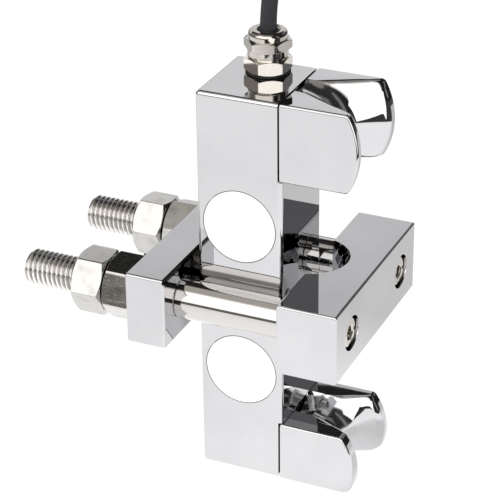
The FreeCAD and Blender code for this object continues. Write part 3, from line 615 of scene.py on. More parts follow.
@dataclass(frozen=True)
class PaleFloor(Finish):
    """White light table that the part stands on. Metres.

    Attributes:
        tint: Colour under the glow.
        near: Glow near the part.
        left: How much of the glow is lost to the left.
        left_fall: Where along X that loss begins and ends.
        rear: How much of the glow is lost to the rear.
        rear_fall: Where along Y that loss begins and ends.
        lit_centre: Middle of the lit area.
        lit_radius: Where the lit area ends at the right front.
        lit_edge: Softness of that end.
        unlit: Share of the glow that is lost past it.
        lit_right: Where along X the right begins.
        lit_front: Where along Y the front ends.
        end_radius: Where the table ends all round.
        end_edge: Softness of that end.
        ended: Share of the glow that is lost past it.
        shade_centre: Middle of the shaded spot beside the part.
        shade_radii: Where that shade begins to fade and where it ends.
        shade: Share of the glow that is lost in it.
        rough: Roughness of the table.
    """

    tint: Colour = (0.03, 0.03, 0.03)
    near: float = 1.50
    left: float = 0.16
    left_fall: Pair = (-0.015, -0.110)
    rear: float = 0.64
    rear_fall: Pair = (0.020, 0.100)
    lit_centre: Triple = (0.033, 0.010, 0.0)
    lit_radius: float = 0.272
    lit_edge: float = 0.004
    unlit: float = 0.985
    lit_right: Pair = (0.015, 0.045)
    lit_front: Pair = (0.050, 0.090)
    end_radius: float = 0.900
    end_edge: float = 0.1
    ended: float = 0.92
    shade_centre: Triple = (0.064, 0.005, 0.0)
    shade_radii: Pair = (0.018, 0.042)
    shade: float = 0.34
    rough: float = 0.9

    def paint(self, graph: Graph, shader: bpy.types.Node) -> None:
        """Sets a glow that falls off to the left and to the rear, and shows as plain white.

        Args:
            graph: Node tree of the material.
            shader: Its principled shader.
        """
        place = graph.place()
        parts = graph.split(place)
        to_left = graph.span(parts["X"], *self.left_fall, 0.0, self.left)
        to_rear = graph.span(parts["Y"], *self.rear_fall, 0.0, self.rear)
        glow = graph.math("SUBTRACT", graph.math("SUBTRACT", self.near, to_left), to_rear)
        far = graph.away(place, self.lit_centre)
        dark = graph.around(far, self.lit_radius, self.lit_edge, 0.0, self.unlit)
        end = graph.around(far, self.end_radius, self.end_edge, 0.0, self.ended)
        right = graph.span(parts["X"], *self.lit_right, 0.0, 1.0)
        front = graph.span(parts["Y"], *self.lit_front, 1.0, 0.0)
        dark = graph.math("MAXIMUM", end, graph.math("MULTIPLY", dark, graph.math("MULTIPLY", right, front)))
        shade = graph.span(graph.away(place, self.shade_centre), *self.shade_radii, self.shade, 0.0)
        glow = graph.math("MULTIPLY", glow, graph.math("SUBTRACT", 1.0, graph.math("MAXIMUM", dark, shade)))
        seen = graph.add("ShaderNodeLightPath").outputs["Is Camera Ray"]
        shown = graph.math("ADD", graph.math("MULTIPLY", glow, graph.math("SUBTRACT", 1.0, seen)), seen)
        graph.link(shown, shader.inputs["Emission Strength"])
        shader.inputs["Emission Color"].default_value = WHITE
        shader.inputs["Base Color"].default_value = (*self.tint, 1.0)
        shader.inputs["Roughness"].default_value = self.rough
        shader.inputs["Specular IOR Level"].default_value = 0.0


MIRROR = MirrorPlate("mirror_plate")
# The backing bar's right face is painted dark as the shadow in its gap beside the body, except its front part
# below 75.6 mm.
BAR_MIRROR = MirrorPlate("bar_mirror_plate", joint=(-18.1, -18.35), open_part=(-16.0, 75.6))
# The seats are painted dark inside their open seam with the body, as the shadow in that gap.
SEAT_MIRROR = MirrorPlate("seat_mirror_plate", joint=(13.62, 13.74), turned=(5.5, 7.6, 0.16))
FASTENER = ScuffedMetal("scuffed_fastener")
SOCKET_STEEL = ScuffedMetal(
    "socket_steel", tint=(0.58, 0.55, 0.50), shaded=(0.42, 0.40, 0.36), gloss=(0.10, 0.24), scuff=0.3)
NICKEL = TurnedMetal(
    "gland_nickel", tint=(0.72, 0.69, 0.65), shaded=(0.64, 0.61, 0.56), gloss=(0.04, 0.09),
    axis=Axis.Z, lines=0.15)
CAP_NICKEL = TurnedMetal(
    "cap_nickel", tint=(0.50, 0.475, 0.44), shaded=(0.43, 0.405, 0.37), gloss=(0.05, 0.11),
    axis=Axis.Z, lines=0.15)
RUBBER = SoftBlack("gland_rubber", gloss=(0.55, 0.75), relief=0.4)
JACKET = SoftBlack(
    "cable_jacket", tint=(0.005, 0.005, 0.0055), dusty=(0.009, 0.009, 0.009), gloss=(0.20, 0.32),
    grain=1400.0, relief=0.15, shine=0.16)
NYLON = SoftBlack("tie_nylon", tint=(0.008, 0.008, 0.009), dusty=(0.016, 0.016, 0.016), gloss=(0.30, 0.45))
FILM = CoverFilm("cover_film")
GAUGE = EtchedFilm("gauge_film")
BOARD = EtchedFilm("board_laminate", ground=(0.02, 0.12, 0.05), metal=(0.60, 0.45, 0.20), pitch=260.0)
COPPER = TurnedMetal("bare_copper", tint=(0.80, 0.46, 0.28), shaded=(0.66, 0.34, 0.19), gloss=(0.20, 0.34))
LEAD_COATS = {
    "red": WireCoat("lead_coat_red", (0.52, 0.02, 0.02)),
    "green": WireCoat("lead_coat_green", (0.02, 0.22, 0.06)),
    "white": WireCoat("lead_coat_white", (0.72, 0.72, 0.70)),
    "black": WireCoat("lead_coat_black", (0.02, 0.02, 0.02)),
}


@dataclass(frozen=True)
class Hexagon:
    """Outline of a hexagon with slightly rounded corners, in millimetres.

    Attributes:
        flats: Width across flats.
        turn: Direction of the first flat, in degrees.
        corner: Round of the corners.
    """

    flats: float
    turn: float
    corner: float
    FLAT_STEPS: ClassVar[int] = 10
    CORNER_STEPS: ClassVar[int] = 4
    SIDES: ClassVar[int] = 6

    def outline(self) -> Outline:
        """Lists the outline's points, counterclockwise.

        Returns:
            Pairs in the cross-section.
        """
        side_turn = math.radians(360.0 / self.SIDES)
        slope = math.tan(side_turn / 2)
        half_side = self.flats / 2 * slope - self.corner * slope
        reach = (self.flats / 2 - self.corner) / math.cos(side_turn / 2)
        points: Outline = []
        for side in range(self.SIDES):
            facing = math.radians(self.turn) + side_turn * side
            out = (math.cos(facing), math.sin(facing))
            for step in range(self.FLAT_STEPS + 1):
                aside = half_side * (2.0 * step / self.FLAT_STEPS - 1.0)
                points.append((
                    out[0] * self.flats / 2 - out[1] * aside,
                    out[1] * self.flats / 2 + out[0] * aside))
            corner = facing + side_turn / 2
            for step in range(1, self.CORNER_STEPS):
                bend = facing + side_turn * step / self.CORNER_STEPS
                points.append((
                    reach * math.cos(corner) + self.corner * math.cos(bend),
                    reach * math.sin(corner) + self.corner * math.sin(bend)))
        return points


def round_outline(radius: float, like: Outline | None = None, count: int = 72) -> Outline:
    """Gives a circle.

    Args:
        radius: Radius in millimetres.
        like: Outline whose directions the circle's points take.
        count: Number of points where there is no such outline.

    Returns:
        Pairs in the cross-section.
    """
    if like is None:
        turns = [2 * math.pi * number / count for number in range(count)]
        like = [(math.cos(turn), math.sin(turn)) for turn in turns]
    return [(radius * u / math.hypot(u, v), radius * v / math.hypot(u, v)) for u, v in like]


class Draft:
    """Points and faces of a mesh while it is drawn up along one axis."""

    SAME_POINT: ClassVar[float] = 1e-7
    BEVEL_STEPS: ClassVar[int] = 2

    def __init__(self, axis: Axis, origin: Sequence[float]) -> None:
        """Starts an empty mesh.

        Args:
            axis: Direction of the piece.
            origin: Start of its axis, in millimetres.
        """
        self.axis = axis
        self.origin = Vector(origin) * MM
        self.points: list[Vector] = []
        self.faces: list[tuple[int, ...]] = []

    def ring(self, outline: Outline, along: float | Sequence[float]) -> Ring:
        """Lifts an outline to a place on the axis.

        Args:
            outline: Pairs in the cross-section.
            along: One distance on the axis, or one for each point.

        Returns:
            Points in metres.
        """
        heights = [along] * len(outline) if isinstance(along, (int, float)) else along
        return [self.axis.point(self.origin, u, v, w) for (u, v), w in zip(outline, heights)]

    def lathe(self, profile: Iterable[Pair], like: Outline | None = None) -> list[Ring]:
        """Turns a profile round the axis.

        Args:
            profile: Pairs of radius and distance along the axis.
            like: Outline whose directions the points take.

        Returns:
            A ring for each pair.
        """
        return [self.ring(round_outline(radius, like), along) for radius, along in profile]

    def skin(
        self, rings: Sequence[Ring], wrap: bool = False, first_cap: bool = False, last_cap: bool = False
    ) -> None:
        """Joins rings of equal point count with faces.

        Args:
            rings: The rings, in order.
            wrap: Whether the last ring joins the first.
            first_cap: Whether the first ring is closed.
            last_cap: Whether the last ring is closed.
        """
        base = len(self.points)
        count = len(rings[0])
        for ring in rings:
            self.points.extend(ring)
        for number in range(len(rings) if wrap else len(rings) - 1):
            here = base + number * count
            there = base + (number + 1) % len(rings) * count
            for i in range(count):
                j = (i + 1) % count
                self.faces.append((here + i, here + j, there + j, there + i))
        if first_cap:
            self.faces.append(tuple(base + i for i in reversed(range(count))))
        if last_cap:
            self.faces.append(tuple(base + (len(rings) - 1) * count + i for i in range(count)))

    def piece(
        self, name: str, finish: Finish, sharp: float = 24.0, bevel: float = 0.0, flatten: bool = False
    ) -> bpy.types.Object:
        """Makes the object.

        Args:
            name: Name of the piece.
            finish: What it is dressed with.
            sharp: Angle in degrees over which an edge isn't smoothed.
            bevel: Width of the softened edges, in millimetres.
            flatten: Whether large faces keep their own normals.

        Returns:
            The object, riding on the body.
        """
        mesh = bpy.data.meshes.new(name)
        mesh.from_pydata(self.points, [], self.faces)
        work = bmesh.new()
        work.from_mesh(mesh)
        bmesh.ops.remove_doubles(work, verts=work.verts, dist=self.SAME_POINT)
        bmesh.ops.dissolve_degenerate(work, edges=work.edges, dist=self.SAME_POINT)
        bmesh.ops.recalc_face_normals(work, faces=work.faces)
        work.to_mesh(mesh)
        work.free()
        mesh.polygons.foreach_set("use_smooth", [True] * len(mesh.polygons))
        mesh.set_sharp_from_angle(angle=math.radians(sharp))
        made = bpy.data.objects.new(name, mesh)
        bpy.context.scene.collection.objects.link(made)
        if bevel:
            soft = made.modifiers.new("soft_edges", "BEVEL")
            soft.width = bevel * MM
            soft.segments = self.BEVEL_STEPS
            soft.limit_method = "ANGLE"
            soft.angle_limit = math.radians(sharp)
            soft.harden_normals = True
        if flatten:
            made.modifiers.new("flat_faces", "WEIGHTED_NORMAL").keep_sharp = True
        finish.dress(made)
        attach(made, BODY)
        return made


def box_of(node: str) -> tuple[Vector, Vector, Vector]:
    """Gives a solid's lowest corner, highest corner and middle, in millimetres."""
    low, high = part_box(node)
    return low / MM, high / MM, (low + high) / 2 / MM


def stand_for(piece: bpy.types.Object, slot: str, *nodes: str) -> None:
    """Lets a piece take the place of solids, which it hides.

    Args:
        piece: The dressed piece.
        slot: Name of a material slot; not used.
        nodes: Solids that it stands for.
    """
    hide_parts(*nodes)
    LOG.info("%s stands for %s", piece.name, ", ".join(nodes))


def dress_nodes(finish: Finish, *names: str) -> None:
    """Dresses solids that keep their shape.

    Args:
        finish: What they are dressed with.
        names: Names of the solids.
    """
    for name in names:
        finish.dress(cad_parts[name])
        LOG.info("%s dressed with %s", name, finish.name)


@dataclass
class SensorBlock:
    """The measuring body with its covers, seat screws and what is inside. All of it keeps its solids."""

    covers: tuple[str, ...] = ("upper_front_cover", "upper_rear_cover", "lower_front_cover", "lower_rear_cover")
    screws: tuple[str, ...] = ("upper_seat_screws", "lower_seat_screws")
    films: tuple[str, ...] = ("upper_gauges", "lower_gauges")

    def dress(self) -> None:
        """Dresses the solids."""
        dress_nodes(MIRROR, "sensor_body")
        dress_nodes(FILM, *self.covers)
        dress_nodes(SOCKET_STEEL, *self.screws)
        dress_nodes(GAUGE, *self.films)
        dress_nodes(BOARD, "bridge_board")
        dress_nodes(JACKET, "inner_leads")


@dataclass
class RopeSeat:
    """A D-shaped rope seat, whose rim carries a V groove with a round bottom and flared lips. Millimetres.

    Attributes:
        level: Which seat it is.
        axis_x: Where the rim's axis lies along X.
        above: Height of the top over that axis.
        below: Depth of the foot under that axis.
        rim: Radius of the rim.
        bottom: Radius at the groove's bottom.
        hollow: Round of the groove's bottom.
        lip: Round of the groove's lips.
        walls: Angles between the groove's wall and the radius, in degrees: over its bottom, under its lip and at
            the rim.
        depth: Half the seat's width along Y.
        edge: Round of the edges of the front and rear face.
        corner: Round where the rim meets the top.
        groove_corner: Round where the groove meets the top.
        foot: Round where the rim and the groove meet the foot.
        rearward: How far the groove lies to the rear of the seat's middle.
        seam: Where the seat meets the body, along X.
        gap: Width of the open joint at the seat's outside.
        gap_depth: Depth of that joint.
    """

    level: Level
    axis_x: float
    above: float
    below: float
    rim: float
    bottom: float
    hollow: float
    lip: float
    walls: Triple = (35.0, 26.0, 78.0)
    depth: float = 16.0
    edge: float = 0.8
    corner: float = 1.6
    groove_corner: float = 8.0
    foot: float = 1.6
    rearward: float = 0.6
    seam: float = 13.1
    gap: float = 0.6
    gap_depth: float = 1.0
    ARC_STEPS: ClassVar[int] = 72
    CORNER_STEPS: ClassVar[int] = 8
    BEND_STEPS: ClassVar[int] = 16
    LEAST_ROUND: ClassVar[float] = 0.2
    LIP_START: ClassVar[float] = 0.8
    FACE_INSET: ClassVar[float] = 1.3
    JOINT_SHARES: ClassVar[tuple[float, ...]] = (0.0, 0.3, 0.6, 1.0)

    def groove(self) -> list[Pair]:
        """Lists half the groove's profile, from its middle to its lip.

        Returns:
            Pairs of distance from the middle and radius about the seat's axis.
        """
        inner, outer, flare = (math.radians(angle) for angle in self.walls)
        wall_radius = self.bottom + self.hollow * (1.0 - math.sin(inner))
        lip_radius = self.rim - self.lip * (math.sin(flare) - math.sin(outer))
        wall = (lip_radius - wall_radius) / (math.sin(inner) - math.sin(outer))
        bends = ((self.hollow, math.pi / 2, inner), (wall, inner, outer), (-self.lip, outer, flare))
        y, radius = 0.0, self.bottom
        profile = [(y, radius)]
        for size, first, last in bends:
            for step in range(self.BEND_STEPS):
                here, there = (first + (last - first) * (step + end) / self.BEND_STEPS for end in (0, 1))
                y += size * (math.cos(there) - math.cos(here))
                radius += size * (math.sin(here) - math.sin(there))
                profile.append((y, radius))
        return profile

    def shoulder(self, radius: float, corner: float, start: float, half: float) -> tuple[Outline, float]:
        """Gives the side view's way from the body to the rim.

        Args:
            radius: Radius about the seat's axis.
            corner: Round where the radius meets the flat side.
            start: Where the seat begins, along X from its axis.
            half: Height of the flat side over the axis.

        Returns:
            Pairs along X and Z, and the angle at which the rim begins.
        """
        if radius <= half:
            steep = [start + self.gap * share for share in self.JOINT_SHARES]
            points = [(along, math.sqrt(max(radius ** 2 - along ** 2, 0.0))) for along in steep]
            return points + [(0.0, radius)] * self.CORNER_STEPS, math.pi / 2
        centre = math.sqrt((radius - corner) ** 2 - (half - corner) ** 2)
        reach = math.atan2(half - corner, centre)
        face = self.seam - self.axis_x + self.gap
        joint = half - self.gap_depth
        points = [(start, joint), (face, joint), (face, half - self.LEAST_ROUND), (face + self.LEAST_ROUND, half)]
        for step in range(self.CORNER_STEPS):
            bend = math.pi / 2 + (reach - math.pi / 2) * step / self.CORNER_STEPS
            points.append((centre + corner * math.cos(bend), half - corner + corner * math.sin(bend)))
        return points, reach

    def outline(self, radius: float, corner: float, inset: float = 0.0, edge: bool = False) -> Outline:
        """Gives the seat's side view at one depth.

        Args:
            radius: Radius about the seat's axis.
            corner: Round where the radius meets the top.
            inset: How far the outline is drawn in.
            edge: Whether it is near the face, where the joint is open.

        Returns:
            Pairs along X and Z about the seat's axis.
        """
        start = self.seam - self.axis_x + (self.gap if edge else 0.0)
        radius -= inset
        upper, top = self.shoulder(radius, max(corner - inset, self.LEAST_ROUND), start, self.above - inset)
        lower, foot = self.shoulder(radius, max(self.foot - inset, self.LEAST_ROUND), start, self.below - inset)
        turns = [-foot + (top + foot) * step / self.ARC_STEPS for step in range(self.ARC_STEPS + 1)]
        rim = [(radius * math.cos(turn), radius * math.sin(turn)) for turn in turns]
        return [(u, -v) for u, v in lower] + rim + upper[::-1]

    def slices(self) -> list[tuple[float, float, Outline]]:
        """Lists the side views from the groove's middle to a face.

        Returns:
            How far each lies in front of the seat's middle and behind it, and its outline.
        """
        made = []
        profile = self.groove()
        mouth = profile[-1][0]
        for y, radius in profile:
            share = min(max((y / mouth - self.LIP_START) / (1.0 - self.LIP_START), 0.0), 1.0)
            corner = self.groove_corner + (self.corner - self.groove_corner) * share
            made.append((y - self.rearward, y + self.rearward, self.outline(radius, corner)))
        for step in range(self.CORNER_STEPS + 1):
            bend = math.pi / 2 * step / self.CORNER_STEPS
            inset = self.edge * (1.0 - math.cos(bend))
            y = self.depth - self.edge * (1.0 - math.sin(bend))
            made.append((y, y, self.outline(self.rim, self.corner, inset, edge=True)))
        face = self.outline(self.rim, self.corner, self.FACE_INSET * self.edge, edge=True)
        return made + [(self.depth, self.depth, face)]

    def build(self) -> None:
        """Makes the seat from its side views."""
        node = f"{self.level.value}_rope_seat"
        draft = Draft(Axis.Y, (self.axis_x, 0.0, box_of(node)[0].z + self.below))
        slices = self.slices()
        front = [draft.ring(outline, -y) for y, _, outline in reversed(slices)]
        rear = [draft.ring(outline, y) for _, y, outline in slices[1:]]
        draft.skin(front + rear, first_cap=True, last_cap=True)
        piece = draft.piece(f"{self.level.value}_seat", SEAT_MIRROR, sharp=32.0, flatten=True)
        stand_for(piece, "polished_steel", node)


@dataclass
class ClampBlocks:
    """The clamp block with its two screws, and the backing bar with its load button. Millimetres.

    Attributes:
        head_radius: Radius of a screw's head.
        head_height: Height of the head.
        head_edge: Size of the head's rounded edge.
        edge_round: How far the middle of that edge lies inside the head's side, and under its top.
        crown: How far points of the head's top lie inside that edge, and how far they drop.
        under_edge: Chamfer under the head.
        shank_radius: Radius of the shank.
        shank_length: Length of the shank.
        tip_edge: Chamfer of the shank's end.
        socket_flats: Width of the socket across flats.
        socket_depth: Depth of the socket's sides.
        socket_corner: Round of the socket's corners.
        socket_floor: Share of the socket's width at its floor, and how far the floor lies under the sides.
        mouth_flats: Width across flats at the socket's mouth.
        mouth_depth: Depth of the mouth's chamfer.
        mouth_corner: Round of the mouth's corners.
        drill_tip: Radius at the tip of the drilled hole, and how far it lies under the sides.
        bearing: Where the heads bear on the block, along X.
        socket_turn: Direction of each socket's first flat, in degrees.
    """

    head_radius: float = 5.0
    head_height: float = 6.0
    head_edge: float = 0.5
    edge_round: Pair = (0.2, 0.275)
    crown: tuple[Pair, ...] = ((0.9, 0.0), (0.7, 0.04), (0.0, 0.10))
    under_edge: float = 0.3
    shank_radius: float = 3.0
    shank_length: float = 30.0
    tip_edge: float = 0.5
    socket_flats: float = 4.2
    socket_depth: float = 3.0
    socket_corner: float = 0.12
    socket_floor: Pair = (0.9, 0.15)
    mouth_flats: float = 4.9
    mouth_depth: float = 0.45
    mouth_corner: float = 0.3
    drill_tip: Pair = (0.2, 1.2)
    bearing: float = 33.9
    socket_turn: dict[Side, float] = field(default_factory=lambda: {Side.FRONT: 12.0, Side.REAR: 40.0})

    def dress(self) -> None:
        """Dresses the solids and makes the two screws."""
        dress_nodes(MIRROR, "clamp_block")
        dress_nodes(BAR_MIRROR, "backing_bar")
        dress_nodes(SOCKET_STEEL, "load_button")
        for side in Side:
            self.screw(side)

    def screw(self, side: Side) -> None:
        """Makes one cap screw, its head to the right.

        Args:
            side: Where the screw is.
        """
        node = f"{side.value}_clamp_screw"
        middle = box_of(node)[2]
        draft = Draft(Axis.X, (self.bearing, middle.y, middle.z))
        turn = self.socket_turn[side]
        socket = Hexagon(self.socket_flats, turn, self.socket_corner).outline()
        mouth = Hexagon(self.mouth_flats, turn, self.mouth_corner).outline()
        top = self.head_height
        bottom = top - self.socket_depth
        rim = self.head_radius - self.head_edge
        tip_radius, tip_depth = self.drill_tip
        floor_share, floor_depth = self.socket_floor
        hollow = draft.lathe([(tip_radius, bottom - tip_depth)], socket) + [
            draft.ring([(floor_share * u, floor_share * v) for u, v in socket], bottom - floor_depth),
            draft.ring(socket, bottom),
            draft.ring(socket, top - self.mouth_depth),
            draft.ring(mouth, top),
        ]
        outside = draft.lathe([
            *((rim - inward, top - drop) for inward, drop in self.crown),
            (self.head_radius - self.edge_round[0], top - self.edge_round[1]),
            (self.head_radius, top - self.head_edge),
            (self.head_radius, self.under_edge),
            (self.head_radius - self.under_edge, 0.0),
            (self.shank_radius, 0.0),
            (self.shank_radius, self.tip_edge - self.shank_length),
            (self.shank_radius - self.tip_edge, -self.shank_length),
        ], socket)
        draft.skin(hollow + outside, first_cap=True, last_cap=True)
        stand_for(draft.piece(f"{side.value}_cap_screw", SOCKET_STEEL, bevel=0.06), "screw_steel", node)


@dataclass
class TieRod:
    """One tie rod with its thread, inner nut and lock nut. Millimetres.

    Attributes:
        side: Which rod it is.
        inner_facet: Angle of an inner nut's facet over the horizontal, in degrees.
        lock_facet: The same of the lock nut.
        shank_radius: Radius of the plain shank.
        shank_edge: Round of the shank's left end.
        end_edge: Chamfer of the shank's right end.
        neck_radius: Radius between the thread's end and the shank.
        crest: Radius of the thread's crests.
        root: Radius of the thread's bottom.
        pitch: Pitch of the thread.
        thread_end: Where the thread ends inside the inner nut, along X.
        shoulder: Where the shank begins, along X.
        shoulder_step: Length of its flat face.
        tip: How far points of the rod's left end lie inside the thread's bottom, and from the end.
        grime_margin: How far grime and bare metal begin from the thread's bottom and crests.
        flats: Width of a nut across flats.
        nut_corner: Round of a nut's corners.
        face_radius: Radius of a nut's flat face.
        bore_spare: Radial gap between a nut's bore and the thread.
        sink: Radial width and depth of the countersink in a nut.
    """

    side: Side
    inner_facet: float
    lock_facet: float
    shank_radius: float = 6.6
    shank_edge: float = 0.35
    end_edge: float = 0.2
    neck_radius: float = 5.9
    crest: float = 6.0
    root: float = 5.0
    pitch: float = 1.75
    thread_end: float = -28.0
    shoulder: float = -17.7
    shoulder_step: float = 0.02
    tip: tuple[Pair, ...] = ((0.0, 0.0), (0.4, 0.0), (4.6, 0.05))
    grime_margin: float = 0.05
    flats: float = 19.0
    nut_corner: float = 0.35
    face_radius: float = 9.2
    bore_spare: float = 0.05
    sink: Pair = (0.6, 0.7)
    TURN_STEPS: ClassVar[int] = 48
    PROFILE: ClassVar[tuple[Pair, ...]] = (
        (0.00, 0.0), (0.12, 0.0), (0.40, 0.90), (0.45, 0.98), (0.50, 1.0), (0.55, 0.98), (0.60, 0.90), (0.88, 0.0))

    def build(self) -> None:
        """Makes the rod and both nuts."""
        self.rod()
        self.nut(f"{self.side.value}_inner_nut", self.inner_facet)
        self.nut(f"{self.side.value}_lock_nut", self.lock_facet)

    def rod(self) -> None:
        """Makes the plain shank and the thread as one piece."""
        node = f"{self.side.value}_tie_rod"
        low, high, middle = box_of(node)
        start, end = low.x, high.x
        radii = (self.root + self.grime_margin, self.crest - self.grime_margin)
        thread = WornThread((middle.y, middle.z), radii, self.thread_end)
        finish = TurnedMetal(f"{self.side.value}_rod_nickel", thread=thread)
        draft = Draft(Axis.X, (0.0, middle.y, middle.z))
        draft.skin(draft.lathe([
            (self.neck_radius, self.thread_end),
            (self.neck_radius, self.shoulder - self.shoulder_step),
            (self.shank_radius - self.shank_edge, self.shoulder),
            (self.shank_radius, self.shoulder + self.shank_edge),
            (self.shank_radius, end - self.end_edge),
            (self.shank_radius - self.end_edge, end),
        ]), first_cap=True, last_cap=True)
        self.thread(draft, start)
        tip = [(self.root - inward, start + along) for inward, along in self.tip]
        draft.skin(draft.lathe(tip), last_cap=True)
        stand_for(draft.piece(f"{self.side.value}_rod", finish, sharp=40.0), "rod_steel", node)

    def thread(self, draft: Draft, start: float) -> None:
        """Winds the thread's profile round the rod.

        Args:
            draft: Mesh of the rod.
            start: Left end of the rod, in millimetres.
        """
        base = len(draft.points)
        size = len(self.PROFILE)
        steps = self.TURN_STEPS
        turns = math.ceil((self.thread_end - start) / self.pitch) + 1
        for number in range(turns * steps + 1):
            angle = 2 * math.pi * number / steps
            for share, height in self.PROFILE:
                along = start + (number / steps - 1.0 + share) * self.pitch
                along = min(max(along, start), self.thread_end)
                radius = min(self.root + (self.crest - self.root) * height, self.root + along - start)
                u, v = radius * math.cos(angle), radius * math.sin(angle)
                draft.points.append(draft.axis.point(draft.origin, u, v, along))
        for number in range(turns * steps):
            for k in range(size - 1):
                here = base + number * size + k
                draft.faces.append((here, here + size, here + size + 1, here + 1))
            here = base + number * size + size - 1
            over = base + (number + steps) * size
            if number + steps < turns * steps:
                draft.faces.append((here, here + size, over + size, over))

    def nut(self, node: str, facet: float) -> None:
        """Makes one chamfered hexagon nut.

        Args:
            node: Solid that it stands for.
            facet: Angle of a facet over the horizontal, in degrees.
        """
        low, high, middle = box_of(node)
        half = (high.x - low.x) / 2
        draft = Draft(Axis.X, middle)
        hexagon = Hexagon(self.flats, 180.0 - facet, self.nut_corner).outline()
        ends = [half - (math.hypot(u, v) - self.face_radius) * CHAMFER_SLOPE for u, v in hexagon]
        sink_width, sink_depth = self.sink
        face = [
            (self.crest + self.bore_spare, half - sink_depth),
            (self.crest + sink_width, half),
            (self.face_radius, half),
        ]
        sides = [draft.ring(hexagon, [-end for end in ends]), draft.ring(hexagon, ends)]
        left = draft.lathe([(radius, -along) for radius, along in face], hexagon)
        draft.skin(left + sides + draft.lathe(face[::-1], hexagon), wrap=True)
        stand_for(draft.piece(node.replace("_nut", "_hexagon"), FASTENER, bevel=0.16), "nut_steel", node)


